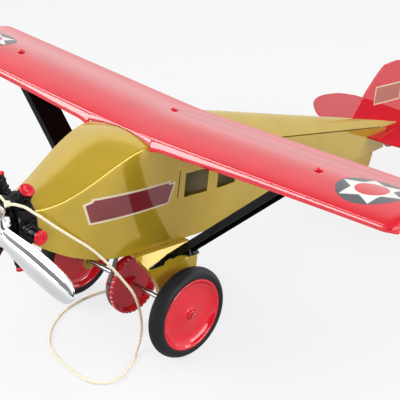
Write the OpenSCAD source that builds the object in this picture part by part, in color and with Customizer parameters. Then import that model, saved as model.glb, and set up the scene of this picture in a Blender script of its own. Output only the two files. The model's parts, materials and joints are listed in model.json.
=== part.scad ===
// Pull-along toy mail plane: a pressed-steel high-wing monoplane on rubber tyres.
// A belt from a crimped pulley on the wheel axle turns the propeller as the toy is pulled along.
// All lengths are millimetres. The airframe is drawn in its own level frame: x to port, y aft, z up, with
// the wheel axle on the x axis. stance() then stands it on its wheels, with the floor at z = 0.

/* [Stance] */
// Diameter of the main tyres
tyre_d = 90; // [84:1:96]
// Angle by which the nose is held up when all wheels are on the floor
nose_up = 7.5; // [6.5:0.25:8.5]
// Diameter of the tail wheel's tyre
tail_tyre_d = 34; // [28:1:38]

/* [Fuselage] */
// Width over the side panels at the cabin
body_w = 80; // [76:1:84]
// Width of the nose at its front plate
nose_w = 37; // [34:1:40]
// Thickness of the pressed steel
sheet = 1.2; // [0.9:0.1:1.4]
// Height of the belly above the axle
belly_h = 54; // [51:1:58]
// Height of the side panels at the cabin
side_h = 101.5; // [96:0.5:106]
// Reach of the nose plate ahead of the axle
nose_reach = 138; // [134:1:142]
// Reach of the side panels behind the axle
tail_reach = 393; // [385:1:400]
// Height of the nose plate's lower edge above the belly
nose_rise = 28; // [25:1:31]
// Fall of the hood's fold from the cabin to the nose plate
nose_fall = 43; // [40:1:46]
// Height of the hood's crown above its folds
hood_crown = 8; // [6:0.5:9.5]
// Depth of the hood's side flange over the panels
hood_lap = 7; // [6.5:0.5:9]
// Width of the front cabin window
window_w = 31; // [26:1:34]
// Width of the rear cabin window
rear_window_w = 27; // [22:1:30]
// Height of the cabin windows
window_h = 24; // [18:1:27]

/* [Wing] */
// Span from tip to tip
span = 610; // [580:5:640]
// Chord from the front lip to the trailing edge
chord = 114; // [110:1:118]
// Rise of the pressed camber
camber = 8; // [6:0.5:10]
// Dihedral of each half
dihedral = 2; // [1:0.25:3]
// Depth of the turned-down front at the cabin
nose_depth = 6.4; // [5.5:0.1:7.5]
// Depth of the turned-down front at the tips
tip_depth = 3; // [2.5:0.25:4]
// Radius of the tip corners
tip_r = 10; // [8:1:16]
// Distance of the strut screws from the middle
strut_reach = 197; // [185:1:205]

/* [Struts and legs] */
// Width of the strap struts
strap_w = 29; // [26:1:34]
// Thickness of the strap
strap = 1.5; // [1.2:0.1:2]
// Depth of the strap's turned edges
strap_edge = 5; // [3:0.5:6]
// Distance of the gear legs from the middle
leg_x = 58; // [55:0.5:61]
// Reach of a leg's top ahead of the axle
leg_fore = 40; // [36:1:44]
// Reach of a leg behind the axle
leg_aft = 30; // [26:1:34]
// Radius of the leg's rounded lower end
leg_end_r = 9; // [8:0.5:11]

/* [Wheels and drive] */
// Width of the main tyres
tyre_w = 17; // [14:0.5:19]
// Diameter of the red wheel discs
disc_d = 72; // [66:1:76]
// Distance between the middles of the main tyres
track = 157; // [150:1:164]
// Diameter of the axle rod
axle_d = 5; // [4:0.5:6]
// Outer diameter of the drive pulley
pulley_d = 60; // [54:1:64]
// Depth of the drive pulley's crimped near side
pulley_dish = 8; // [7:0.5:10]
// Number of crimps round the pulley's rim
pulley_crimps = 36; // [30:1:40]
// Diameter of the drive pulley's belt groove
groove_d = 48; // [44:1:51]
// Diameter of the shaft pulley's belt groove
shaft_groove_d = 16; // [14:0.5:20]
// Diameter of the round belt
belt_d = 4.5; // [3.5:0.25:5.5]

/* [Engine and propeller] */
// Height of the propeller shaft above the axle
thrust_h = 99; // [96:0.5:102]
// Diameter of the propeller shaft
shaft_d = 5; // [4:0.5:6]
// Diameter of the crankcase
case_d = 50; // [46:1:54]
// Distance of the barrel tops from the shaft
barrel_reach = 40; // [38:0.5:43]
// Diameter of a barrel's foot
barrel_d = 16; // [14:0.5:18]
// Diameter of a barrel's cap
cap_d = 13.5; // [12:0.5:15]
// Number of engine barrels
barrels = 6; // [5:1:6]
// Diameter of the propeller
prop_d = 212; // [200:1:220]
// Greatest width of a propeller blade
blade_w = 32; // [28:1:36]

/* [Tail] */
// Span of the tailplane
tail_span = 246; // [230:2:260]
// Reach of the tailplane's trailing edge behind the side panels
tail_over = 77; // [72:1:84]
// Height of the tailplane above the axle
tail_h = 85.5; // [84.5:0.25:85.75]
// Height of the fin's top above the axle
fin_top = 168; // [162:1:174]
// Reach of the rudder's rear edge behind the side panels
rudder_over = 62; // [57:1:67]

/* [Pull cord] */
// Diameter of the pull cord
cord_d = 3; // [2.5:0.25:3.5]

/* [Fits] */
// Gap between pieces that only touch
seat = 0.2; // [0.1:0.05:0.3]
// Radial gap of a shaft that turns in a bush
running = 0.05; // [0.03:0.01:0.08]

/* [Hidden] */
$fn = 64;

half_w = body_w / 2;
tyre_r = tyre_d / 2;
roof_h = belly_h + side_h;
nose_half = nose_w / 2;

// Stations along the body, measured from the axle
cabin_front = -20;
cabin_rear = 80;
hood_bend = -26;
keel_bend = -45;
keel_rear = 45;
deck_front = -12;
spear_reach = tail_reach + 24;

// Plan, fold and keel lines of the body
bow_len = nose_reach + cabin_front;
bow_in = half_w - nose_half;
bow_r = (bow_len * bow_len + bow_in * bow_in) / (2 * bow_in);
keel_len = nose_reach + keel_bend;
keel_r = (keel_len * keel_len + nose_rise * nose_rise) / (2 * nose_rise);
fold_rear_h = roof_h - 15.5;
fold_tail_h = roof_h - 66;
deck_seat = 7.6;
keel_tail_rise = 11;

wing_base = roof_h + deck_seat;
deck_top = wing_base - sheet - seat;
ridge_fall = 69.5;

function arc_rise(r, d) = r - sqrt(r * r - d * d);

function plan_x(y) =
    y < cabin_front ? half_w - arc_rise(bow_r, cabin_front - y) :
    y < cabin_rear ? half_w :
    half_w * (spear_reach - y) / (spear_reach - cabin_rear);

function ease(s) = s * s * (3 - 2 * s);
function fold_z(y) =
    y < hood_bend ? roof_h - nose_fall * (1 - ease((y + nose_reach) / (nose_reach + hood_bend))) :
    y < deck_front ? roof_h :
    y < cabin_rear ? roof_h - (roof_h - fold_rear_h) * (y - deck_front) / (cabin_rear - deck_front) :
    fold_rear_h - (fold_rear_h - fold_tail_h) * (y - cabin_rear) / (tail_reach - cabin_rear);

function keel_z(y) =
    y < keel_bend ? belly_h + arc_rise(keel_r, keel_bend - y) :
    y < keel_rear ? belly_h :
    belly_h + keel_tail_rise * (y - keel_rear) / (tail_reach - keel_rear);

function ridge_z(y) =
    y < cabin_rear ? deck_top :
    deck_top - ridge_fall * (y - cabin_rear) / (spear_reach - cabin_rear);

// A smooth line through hand-set points, with extra points between each pair
function lerp_curve(a, b, c, d, t) =
    0.5 * (2 * b + (c - a) * t + (2 * a - 5 * b + 4 * c - d) * t * t + (3 * b - a - 3 * c + d) * t * t * t);
function smooth(list, count) =
    let (last = len(list) - 1)
    concat([for (k = [0:last - 1], j = [0:count - 1])
        lerp_curve(list[max(k - 1, 0)], list[k], list[k + 1], list[min(k + 2, last)], j / count)], [list[last]]);

function steps(from, to, count) = [for (k = [0:count]) from + (to - from) * k / count];
function flip(list) = [for (k = [len(list) - 1:-1:0]) list[k]];

nose_stations = steps(-nose_reach, cabin_front, 12);
body_stations = concat(nose_stations, [deck_front, cabin_rear, tail_reach]);
hood_rear = cabin_front + 4;
hood_tuck = 3.5;
under_hood = steps(-nose_reach, hood_bend, 14);
fold_stations = concat([hood_rear + seat, deck_front, cabin_rear, tail_reach]);
keel_stations = concat(steps(-nose_reach, keel_bend, 12), [keel_rear, tail_reach]);

// Stands the level airframe on its wheels
module stance() {
    translate([0, 0, tyre_r])
        rotate([-nose_up, 0, 0])
            children();
}

// Extrudes a side elevation, drawn as (y, z), across the body between two x values
module across(x_low, x_high) {
    translate([x_low, 0, 0])
        rotate([90, 0, 90])
            linear_extrude(x_high - x_low)
                children();
}

// Draws a cylinder along y
module along_y(y, length, d) {
    translate([0, y, 0])
        rotate([-90, 0, 0])
            cylinder(h = length, d = d);
}

// Draws a cylinder along x
module along_x(x, length, d) {
    translate([x, 0, 0])
        rotate([0, 90, 0])
            cylinder(h = length, d = d);
}

// A pressed sheet between an outer and an inner grid of points.
// Outward is the direction of the columns crossed with the direction of the rows.
module pressed_sheet(outer, inner) {
    rows = len(outer);
    cols = len(outer[0]);
    back = rows * cols;
    points = concat([for (row = outer) each row], [for (row = inner) each row]);
    skins = [for (j = [0:rows - 2], i = [0:cols - 2])
        let (a = j * cols + i, b = a + 1, c = a + cols, d = c + 1)
        each [[a, d, b], [a, c, d], [back + a, back + b, back + d], [back + a, back + d, back + c]]];
    ends = [for (i = [0:cols - 2])
        let (a = i, b = i + 1, c = (rows - 1) * cols + i, d = c + 1)
        each [[a, b, back + b], [a, back + b, back + a], [c, back + d, d], [c, back + c, back + d]]];
    edges = [for (j = [0:rows - 2])
        let (a = j * cols, c = a + cols, b = a + cols - 1, d = c + cols - 1)
        each [[c, a, back + a], [c, back + a, back + c], [b, d, back + d], [b, back + d, back + b]]];
    polyhedron(points, concat(skins, ends, edges));
}

// Fuselage
olive = [0.60, 0.50, 0.11];
cherry = [0.74, 0.05, 0.10];
black = [0.05, 0.05, 0.06];
steel = [0.66, 0.67, 0.68];
brass = [0.72, 0.58, 0.28];
rubber = [0.12, 0.12, 0.13];
cotton = [0.90, 0.84, 0.70];

window_sill = roof_h - 59;
window_front = 23.5;
window_gap = 13.5;
window_r = 2;
tail_slot_front = tail_reach - 43;

module side_elevation() {
    polygon(concat(
        [for (y = concat(under_hood, [hood_rear + seat])) [y, fold_z(y) - hood_tuck]],
        [for (y = fold_stations) [y, fold_z(y)]],
        [for (y = flip(keel_stations)) [y, keel_z(y)]]));
}

module panel_strip() {
    polygon(concat(
        [for (y = body_stations) [plan_x(y), y]],
        [for (y = flip(body_stations)) [plan_x(y) - sheet, y]]));
}

module window_cut(y, width) {
    across(0, body_w)
        translate([y + window_r, window_sill + window_r])
            square([width - 2 * window_r, window_h - 2 * window_r]);
    for (dy = [window_r, width - window_r], dz = [window_r, window_h - window_r])
        translate([0, y + dy, window_sill + dz])
            along_x(0, body_w, 2 * window_r);
    across(0, body_w)
        translate([y, window_sill + window_r])
            square([width, window_h - 2 * window_r]);
    across(0, body_w)
        translate([y + window_r, window_sill])
            square([width - 2 * window_r, window_h]);
}

module tail_slot() {
    translate([-half_w, tail_slot_front - seat, tail_h - seat])
        cube([body_w, tail_reach, sheet + 2 * seat]);
}

module side_panel() {
    difference() {
        intersection() {
            translate([0, 0, belly_h])
                linear_extrude(side_h)
                    panel_strip();
            across(0, body_w)
                side_elevation();
        }
        window_cut(window_front, window_w);
        window_cut(window_front + window_w + window_gap, rear_window_w);
        tail_slot();
    }
}

module left_side_panel() {
    color(olive)
        stance()
            side_panel();
}

module right_side_panel() {
    color(olive)
        stance()
            mirror([1, 0, 0])
                side_panel();
}

// Hood over the nose, lapped outside the side panels
hood_stations = concat(under_hood, [hood_rear]);
hood_shape = 2.4;
hood_round = [8, 5.5];
hood_turn = [0, 0.25, 0.5, 0.75, 1];
hood_inner = [0.6, 0.4, 0.2];
hood_low_crown = deck_top - roof_h - sheet - seat;
hood_swell = -30;

function crown(y) =
    hood_low_crown + (hood_crown - hood_low_crown) * sin(180 * max(0, (hood_swell - y) / (nose_reach + hood_swell)));
function hood_z(y, f) = fold_z(y) + crown(y) * (1 - pow(abs(f), hood_shape)) + sheet + seat;
function hood_half(y) = plan_x(y) + seat + sheet;

// The rounded fold: its outer edge, the corner it is bent about and its inner edge
function hood_fold(y, inset, t) =
    let (half = hood_half(y), inner = half - hood_round[0])
    let (a = [half - inset, hood_z(y, 1) - hood_round[1]])
    let (b = [half - inset, hood_z(y, 1) + 0.5 - inset])
    let (c = [inner, hood_z(y, inner / half) - inset])
    (1 - t) * (1 - t) * a + 2 * t * (1 - t) * b + t * t * c;
function hood_side(y, inset) = concat(
    [[hood_half(y) - inset, y, fold_z(y) - hood_lap]],
    [for (t = hood_turn) let (p = hood_fold(y, inset, t)) [p[0], y, p[1]]],
    [for (f = hood_inner) [hood_half(y) * f, y, hood_z(y, f) - inset]]);
function hood_row(y, inset) = concat(
    [for (p = hood_side(y, inset)) [-p[0], y, p[2]]],
    [[0, y, hood_z(y, 0) - inset]],
    flip(hood_side(y, inset)));
function hood_top(y, x) =
    let (half = hood_half(y), edge = half - abs(x))
    edge > hood_round[0] ? hood_z(y, abs(x) / half) : hood_fold(y, 0, sqrt(max(0, edge) / hood_round[0]))[1];

module hood() {
    color(olive)
        stance()
            pressed_sheet(
                [for (y = hood_stations) hood_row(y, 0)],
                [for (y = hood_stations) hood_row(y, sheet)]);
}

// Turtle deck behind the hood, ending in a spear over the tail
deck_shape = 1.5;
deck_fractions = steps(-1, 1, 12);
deck_stations = concat(steps(hood_rear + 1, cabin_rear, 6), steps(cabin_rear + 40, tail_reach, 8),
    steps(tail_reach + 8, spear_reach - 3, 2));
fin_front = tail_reach - 66;

function deck_fold(y) = (y < tail_reach ? fold_z(y) : fold_tail_h - (y - tail_reach) * 0.05) + seat + sheet;
function deck_z(y, f) = deck_fold(y) + (ridge_z(y) - deck_fold(y)) * (1 - pow(abs(f), deck_shape));
function deck_row(y, inset) =
    [for (f = deck_fractions) [(plan_x(y) - inset / 4) * f, y, deck_z(y, f) - inset]];

module aft_deck() {
    color(olive)
        stance()
            difference() {
                pressed_sheet(
                    [for (y = deck_stations) deck_row(y, 0)],
                    [for (y = deck_stations) deck_row(y, sheet)]);
                translate([-sheet / 2 - seat, fin_front - 1, fold_tail_h - 10])
                    cube([sheet + 2 * seat, tail_reach, side_h]);
                at_screw(0, centre_screw_y)
                    cylinder(h = 3 * deck_seat, d = screw_d + 4 * seat, center = true);
            }
}

// Belly pan between the side panels, with a slot for the belt
belt_slot = [26, 35.5];
belt_slot_y = -26;

module belly_strip() {
    polygon(concat(
        [for (y = keel_stations) [y, keel_z(y)]],
        [for (y = flip(keel_stations)) [y, keel_z(y) + sheet]]));
}

module belly_plan() {
    polygon(concat(
        [for (y = body_stations) [plan_x(y) - sheet - seat, y]],
        [for (y = flip(body_stations)) [-plan_x(y) + sheet + seat, y]]));
}

module belly_pan() {
    color(olive)
        stance()
            difference() {
                intersection() {
                    across(-half_w, half_w)
                        belly_strip();
                    translate([0, 0, belly_h - 1])
                        linear_extrude(side_h)
                            belly_plan();
                }
                translate([-belt_slot[0] / 2, belt_slot_y, belly_h - 5])
                    cube([belt_slot[0], belt_slot[1], 10]);
                each_leg_rivet()
                    cylinder(h = 10, d = rivet_d + 2 * running, center = true);
            }
}

// Plate that closes the nose and carries the engine
case_pilot_d = 14;

module nose_plate() {
    color(olive)
        stance()
            difference() {
                translate([-nose_half + sheet + seat, -nose_reach, belly_h + nose_rise + sheet + seat])
                    cube([nose_w - 2 * sheet - 2 * seat, sheet, roof_h - nose_fall - belly_h - nose_rise - 4 * sheet]);
                translate([0, 0, thrust_h])
                    along_y(-nose_reach - 1, sheet + 2, case_pilot_d + 2 * seat);
            }
}

// Engine: crankcase, barrels and caps
case_len = 17;
case_front = -nose_reach - case_len;
engine_y = -nose_reach - 10.5;
neck_d = barrel_d - 4;
cap_h = 4;
bush_d = 10;
boss_len = 6;
boss_d = 30;

module crankcase() {
    color(black)
        stance()
            translate([0, 0, thrust_h])
                difference() {
                    union() {
                        along_y(case_front, case_len - seat / 2, case_d);
                        along_y(case_front - boss_len, boss_len + 1, boss_d);
                        along_y(-nose_reach - 1, sheet + 1, case_pilot_d);
                    }
                    along_y(case_front - boss_len - 1, 2 * case_len, bush_d + 2 * running);
                }
}

module each_barrel() {
    for (k = [0:barrels - 1])
        translate([0, engine_y, thrust_h])
            rotate([0, 360 / barrels * (k + 0.5), 0])
                children();
}

module engine_barrels() {
    color(black)
        stance()
            each_barrel()
                difference() {
                    union() {
                        cylinder(h = barrel_reach - 8, d = barrel_d);
                        cylinder(h = barrel_reach, d = neck_d);
                    }
                    along_y(-case_len, 2 * case_len, case_d + seat);
                }
}

module barrel_caps() {
    color(cherry)
        stance()
            each_barrel()
                translate([0, 0, barrel_reach])
                    difference() {
                        rotate_extrude()
                            polygon([[0, 0], [cap_d / 2 - 0.8, 0], [cap_d / 2, 1], [cap_d / 2, cap_h - 1.2],
                                [cap_d / 2 - 1.2, cap_h], [0, cap_h]]);
                        translate([0, 0, cap_h - 1.5])
                            cylinder(h = 3, d = 3);
                    }
}

// Propeller shaft, its bushes and pulley
prop_y = case_front - boss_len - 7.5;
shaft_front = prop_y - 9;
shaft_rear = 19;
shaft_pulley_y = -14;
shaft_pulley_w = 14;
shaft_pulley_rim = 3;
bracket_y = 11;
belt_side = 0.6;

module prop_shaft() {
    color(steel)
        stance()
            translate([0, 0, thrust_h])
                along_y(shaft_front, shaft_rear - shaft_front, shaft_d);
}

module front_bush() {
    color(brass)
        stance()
            translate([0, 0, thrust_h])
                difference() {
                    along_y(case_front - boss_len, case_len + boss_len, bush_d);
                    along_y(case_front - boss_len - 1, 2 * case_len, shaft_d + 2 * running);
                }
}

module shaft_pulley() {
    low = shaft_groove_d / 2;
    half = shaft_pulley_w / 2;
    color(steel)
        stance()
            translate([0, shaft_pulley_y, thrust_h])
                rotate([-90, 0, 0])
                    rotate_extrude()
                        difference() {
                            polygon([[shaft_d / 2 + running, -half], [low + shaft_pulley_rim, -half],
                                [low + shaft_pulley_rim, -half + 1.8], [low + 0.4, -1.8], [low + 0.4, 1.8],
                                [low + shaft_pulley_rim, half - 1.8], [low + shaft_pulley_rim, half],
                                [shaft_d / 2 + running, half]]);
                            translate([low + belt_d / 2, 0])
                                circle(d = belt_d + 2 * belt_side);
                        }
}

module rear_bracket() {
    color(steel)
        stance()
            difference() {
                union() {
                    translate([-13, bracket_y, belly_h + sheet + seat / 2])
                        cube([26, 2, thrust_h - belly_h - sheet]);
                    translate([-13, bracket_y, belly_h + sheet + seat / 2])
                        cube([26, 16, 2]);
                    translate([0, 0, thrust_h])
                        along_y(bracket_y, 2, 26);
                }
                translate([0, 0, thrust_h])
                    along_y(bracket_y - 1, 4, bush_d + 2 * running);
            }
}

module rear_bush() {
    color(brass)
        stance()
            translate([0, 0, thrust_h])
                difference() {
                    union() {
                        along_y(bracket_y - 2, 5, bush_d);
                        along_y(bracket_y - 2, 2 - seat / 2, bush_d + 4);
                    }
                    along_y(bracket_y - 3, 8, shaft_d + 2 * running);
                }
}

// Propeller: a pressed boss with two twisted blades
boss_r = 19;
boss_h = 7;
blade_root_r = 12;
blade_bow = 2.2;
blade_edge = 1.1;
blade_swell = 0.5;
blade_twist = [20, 6];
prop_angle = 18.5;
blade_rows = steps(0, 1, 9);
blade_cols = steps(-1, 1, 6);

function blade_chord(t) = blade_w * (0.62 + 0.38 * sin(min(1, t / 0.55) * 90)) * sqrt(1 - pow(t, 5) * 0.97);
function blade_pitch(t) = blade_twist[0] - blade_twist[1] * t;
function blade_point(t, c, side) =
    let (half = blade_chord(t) / 2)
    let (u = half * c)
    let (bow = (1 - c * c) * blade_bow)
    let (depth = bow * -1 + side * (blade_edge + blade_swell * (1 - c * c)))
    [blade_root_r + t * (prop_d / 2 - blade_root_r),
     -u * sin(blade_pitch(t)) + depth * cos(blade_pitch(t)),
     -u * cos(blade_pitch(t)) - depth * sin(blade_pitch(t))];

module prop_blade() {
    pressed_sheet(
        [for (t = blade_rows) [for (c = blade_cols) blade_point(t, c, -1)]],
        [for (t = blade_rows) [for (c = blade_cols) blade_point(t, c, 1)]]);
}

module propeller() {
    color("silver")
        stance()
            translate([0, prop_y, thrust_h])
                difference() {
                    union() {
                        for (turn = [0, 180])
                            rotate([0, prop_angle + turn, 0])
                                prop_blade();
                        rotate([90, 0, 0])
                            rotate_extrude()
                                polygon([[0, -7.2], [8, -7.2], [8, -3.5], [boss_r - 3, -3.5], [boss_r, -2],
                                    [boss_r, -0.5], [boss_r - 4, 2.5], [9, boss_h - 2], [0, boss_h - 2]]);
                    }
                    along_y(-20, 40, shaft_d + 2 * running);
                }
}

module prop_nut() {
    color(steel)
        stance()
            translate([0, prop_y - boss_h + 2 - seat / 2, thrust_h])
                rotate([90, 0, 0])
                    difference() {
                        union() {
                            cylinder(h = 4, d = 10, $fn = 6);
                            translate([0, 0, 3])
                                intersection() {
                                    sphere(d = 9);
                                    cylinder(h = 9, d = 9);
                                }
                        }
                        translate([0, 0, -1])
                            cylinder(h = 5.5, d = shaft_d + 2 * running);
                    }
}

// Belt: a quarter turn from the drive pulley to the shaft pulley
belt_lift = 0.6;
belt_low_r = groove_d / 2 + belt_d / 2 + belt_lift;
belt_top_r = shaft_groove_d / 2 + belt_d / 2 + belt_lift;
belt_reach = norm([shaft_pulley_y, thrust_h]);
belt_lean = atan2(thrust_h, shaft_pulley_y);
belt_open = acos(belt_low_r / belt_reach);
belt_from = belt_lean + belt_open;
belt_to = belt_lean - belt_open + 360;
belt_low = [for (a = steps(belt_from, belt_to, 16)) [0, belt_low_r * cos(a), belt_low_r * sin(a)]];
belt_top = [for (a = [0:20:180]) [-belt_top_r * cos(a), shaft_pulley_y, thrust_h + belt_top_r * sin(a)]];

function mix(a, b, t) = a + (b - a) * t;
function unit(v) = v / norm(v);
function belt_run(a, b) = [for (t = [0.06, 0.3, 0.5, 0.7, 0.94]) mix(a, b, t)];
belt_path = concat(belt_low, belt_run(belt_low[16], belt_top[0]), belt_top, belt_run(belt_top[9], belt_low[0]));

// A closed round tube along a loop of points
module loop_tube(path, d, sides) {
    count = len(path);
    tangents = [for (k = [0:count - 1]) unit(path[(k + 1) % count] - path[(k + count - 1) % count])];
    guides = [for (k = [0:count - 1]) unit(cross(tangents[k], [1, 0.35, 0.2]))];
    points = [for (k = [0:count - 1])
        let (n = guides[k], b = cross(tangents[k], n))
        for (s = [0:sides - 1])
            path[k] + d / 2 * (n * cos(360 / sides * s) + b * sin(360 / sides * s))];
    faces = [for (k = [0:count - 1], s = [0:sides - 1])
        let (a = k * sides + s, b = k * sides + (s + 1) % sides)
        let (c = ((k + 1) % count) * sides + s, e = ((k + 1) % count) * sides + (s + 1) % sides)
        each [[a, e, b], [a, c, e]]];
    polyhedron(points, faces);
}

module belt() {
    color([0.45, 0.45, 0.46])
        stance()
            loop_tube(belt_path, belt_d, 8);
}

// Wing: one pressed sheet with a turned-down front
wing_rear = 77;
lip_lean = 13;
lip_dip = 2.8;
lip_dip_reach = 9;
arch_gap = 0.5;
wing_front = wing_rear - chord;
fold_y = wing_front + lip_lean;
half_span = span / 2;
arch_half = half_w + 3;
arch_stations = [for (d = [26, 12, 6, 2, 0]) half_w - d];
wing_half_stations = concat([0], arch_stations, [arch_half, arch_half + lip_dip_reach],
    steps(arch_half + 25, half_span - 2 * tip_r, 6), [for (a = [0:18:90]) half_span - tip_r + tip_r * sin(a)]);
wing_stations = concat(flip([for (x = wing_half_stations) -x]), [for (k = [1:len(wing_half_stations) - 1])
    wing_half_stations[k]]);
wing_fractions = [1, 0.9, 0.75, 0.6, 0.45, 0.32, 0.2, 0.1, 0.03, 0];

function tip_inset(x) = let (d = abs(x) - half_span + tip_r) d < 0 ? 0 : arc_rise(tip_r, min(d, tip_r));
function wing_z(x) = wing_base + abs(x) * tan(dihedral);
function camber_z(u, x) =
    camber * 0.8 * u * (1 - u) * (1 + 6.9 * (1 - u)) * (1 - 0.45 * tip_inset(x) / tip_r);
function full_depth(x) =
    tip_depth + (nose_depth - tip_depth) * pow(1 - abs(x) / half_span, 1.6)
    + lip_dip * pow(max(0, 1 - abs(abs(x) - arch_half) / lip_dip_reach), 2);
function arch_z(x) = hood_top(hood_bend - 2, x) + arch_gap;
function lip_z(x) =
    abs(x) < arch_half - 0.1 ? max(arch_z(x), wing_z(x) - full_depth(x)) : wing_z(x) - full_depth(x);
function wing_y(u, x) =
    let (front = fold_y + tip_inset(x), rear = wing_rear - tip_inset(x))
    front + u * (rear - front);
function lean_at(x) = lip_lean * min(1, (wing_z(x) - lip_z(x)) / nose_depth);
function wing_row(x, inset) = concat(
    [for (u = wing_fractions) [x, wing_y(u, x) + (u == 0 ? inset * 0.7 : 0), wing_z(x) + camber_z(u, x) - inset]],
    [for (t = [0.3, 0.65, 1])
        [x, wing_y(0, x) - lean_at(x) * pow(t, 0.6) + inset, mix(wing_z(x), lip_z(x), t) - inset * 0.35 * (1 - t)]]);

// Screws that hold the wing to the body and the struts
screw_d = 4;
screw_head_d = 8;
strut_y = 14.5;
centre_screw_y = 42;

function screw_seat(x, y) = wing_z(x) + camber_z((y - fold_y) / (wing_rear - fold_y), x);

function screw_tilt(x, y) = atan((screw_seat(x, y + 4) - screw_seat(x, y - 4)) / 8);

module at_screw(x, y) {
    translate([x, y, screw_seat(x, y)])
        rotate([screw_tilt(x, y), -sign(x) * dihedral, 0])
            children();
}

module wing_screw_holes() {
    for (x = [-strut_reach, strut_reach])
        at_screw(x, strut_y)
            cylinder(h = 3 * deck_seat, d = screw_d + 4 * seat, center = true);
    at_screw(0, centre_screw_y)
        cylinder(h = 3 * deck_seat, d = screw_d + 4 * seat, center = true);
}

module wing() {
    color(cherry)
        stance()
            difference() {
                pressed_sheet(
                    [for (x = wing_stations) wing_row(x, 0)],
                    [for (x = wing_stations) wing_row(x, sheet)]);
                wing_screw_holes();
            }
}

module screw(length) {
    translate([0, 0, seat])
        rotate_extrude()
            polygon([[0, -length], [screw_d / 2, -length], [screw_d / 2, 0], [screw_head_d / 2, 0],
                [screw_head_d / 2 - 0.8, 1.2], [1.4, 1.9], [0, 1.2]]);
}

module wing_screws() {
    color(cherry)
        stance() {
            for (side = [-1, 1])
                at_screw(side * strut_reach, strut_y)
                    screw(5);
            at_screw(0, centre_screw_y)
                screw(9);
        }
}

// Strap struts from the gear legs to the wing
shelf_in = 12;
shelf_drop = 11;
leg_fold_h = belly_h - shelf_drop;
shelf_way = unit([0.6 - shelf_in, shelf_drop - seat]);
shelf_out = [shelf_way[1], -shelf_way[0]];
shelf_slope = atan2(shelf_way[1], -shelf_way[0]);
strap_rise = 8;
strap_low = [leg_x, leg_fold_h] + shelf_way * strap_rise + shelf_out * seat;
strap_tab = 8;
strap_y = 8.5;
strap_gap = 1.9;
strap_top_z = screw_seat(strut_reach, strut_y) - sheet - strap - strap_gap;
strap_bend = [strut_reach - strap_tab, strap_top_z - strap_tab * tan(dihedral)];
strap_way = unit(strap_bend - strap_low);
strap_up = [-strap_way[1], strap_way[0]];
strap_front = strap_y - strap_w / 2;
strap_rear = strap_y + strap_w / 2;
flange_start = 2;
foot_fore = 31;
foot_aft = 32;
foot_tip = 2.6;
foot_edge = 0.6;
foot_arch = 17;
foot_arch_h = 4.4;
foot_arch_y = 2;

// Places a shape on a leg's sloping shelf: x runs down the shelf to its fold and z stands off it
module on_shelf() {
    translate([leg_x, 0, leg_fold_h])
        rotate([0, shelf_slope, 0])
            children();
}

module strap_line() {
    root = strap_low + strap_way * strap / 4;
    tip = [strut_reach + strap_tab, strap_top_z + strap_tab * tan(dihedral)];
    polygon([root, strap_bend, tip, tip + [0, strap], strap_bend + [-strap / 2, strap], root + strap_up * strap]);
}

// The foot spreads along the shelf and is arched between its two ends
module strap_foot() {
    on_shelf()
        translate([0, 0, seat])
            linear_extrude(strap)
                difference() {
                    polygon([[-foot_edge, -foot_fore], [-foot_tip, -foot_fore],
                        [-strap_rise - strap / 2, strap_front + strap / 2],
                        [-strap_rise - strap / 2, strap_rear - strap / 2], [-strap_rise * 0.7, foot_aft],
                        [-foot_edge, foot_aft]]);
                    polygon(concat([[sheet, foot_arch_y + foot_arch]],
                        [for (a = [0 : 15 : 180])
                            [-foot_edge - foot_arch_h * sin(a), foot_arch_y + foot_arch * cos(a)]],
                        [[sheet, foot_arch_y - foot_arch]]));
                }
}

module strap_flange() {
    low = strap_low + strap_way * flange_start;
    high = strap_bend - strap_way * 8;
    inside = strap_up * strap / 2;
    polygon([low + inside, high + inside, high, high - strap_up * strap_edge - strap_way * 4,
        low - strap_up * strap_edge + strap_way * 4, low]);
}

// Extrudes a front elevation, drawn as (x, z), along y
module lengthwise(y_low, y_high) {
    translate([0, y_high, 0])
        rotate([90, 0, 0])
            linear_extrude(y_high - y_low)
                children();
}

module strut() {
    difference() {
        union() {
            lengthwise(strap_front, strap_rear)
                strap_line();
            strap_foot();
            lengthwise(strap_front, strap_front + strap)
                strap_flange();
            lengthwise(strap_rear - strap, strap_rear)
                strap_flange();
        }
        at_screw(strut_reach, strut_y)
            cylinder(h = 6 * deck_seat, d = screw_d + 4 * seat, center = true);
        each_strut_rivet()
            cylinder(h = 10, d = rivet_d + 2 * running, center = true);
    }
}

// Rivets through the strut feet and through the tops of the gear legs
rivet_d = 3;
rivet_head_d = 5.5;
rivet_head_h = 1.2;
strut_rivet_up = 3.4;
strut_rivet_at = [-16, 25.5];
leg_rivet_edge = 7.5;

module each_strut_rivet() {
    for (y = strut_rivet_at)
        on_shelf()
            translate([-strut_rivet_up, y, seat])
                children();
}

module each_leg_rivet() {
    for (side = [-1, 1], y = [-leg_fore + leg_rivet_edge, leg_aft - leg_rivet_edge])
        translate([side * (leg_x - shelf_in - leg_flange * 0.7), y, belly_h])
            children();
}

module rivet(low, high) {
    translate([0, 0, low - rivet_head_h])
        rotate_extrude()
            polygon([[0, 0], [rivet_head_d / 2 - 0.6, 0], [rivet_head_d / 2, 0.6],
                [rivet_head_d / 2, rivet_head_h - seat / 4], [rivet_d / 2, rivet_head_h - seat / 4],
                [rivet_d / 2, high - low + rivet_head_h + seat / 4],
                [rivet_head_d / 2, high - low + rivet_head_h + seat / 4],
                [rivet_head_d / 2, high - low + 2 * rivet_head_h - 0.6],
                [rivet_head_d / 2 - 0.6, high - low + 2 * rivet_head_h], [0, high - low + 2 * rivet_head_h]]);
}

module strut_rivets() {
    color(black)
        stance()
            for (side = [0, 1])
                mirror([side, 0, 0])
                    each_strut_rivet()
                        rivet(-seat - sheet - 0.25, strap);
}

module leg_rivets() {
    color(steel)
        stance()
            each_leg_rivet()
                rivet(-seat - sheet, sheet);
}

module left_strut() {
    color(black)
        stance()
            strut();
}

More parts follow.
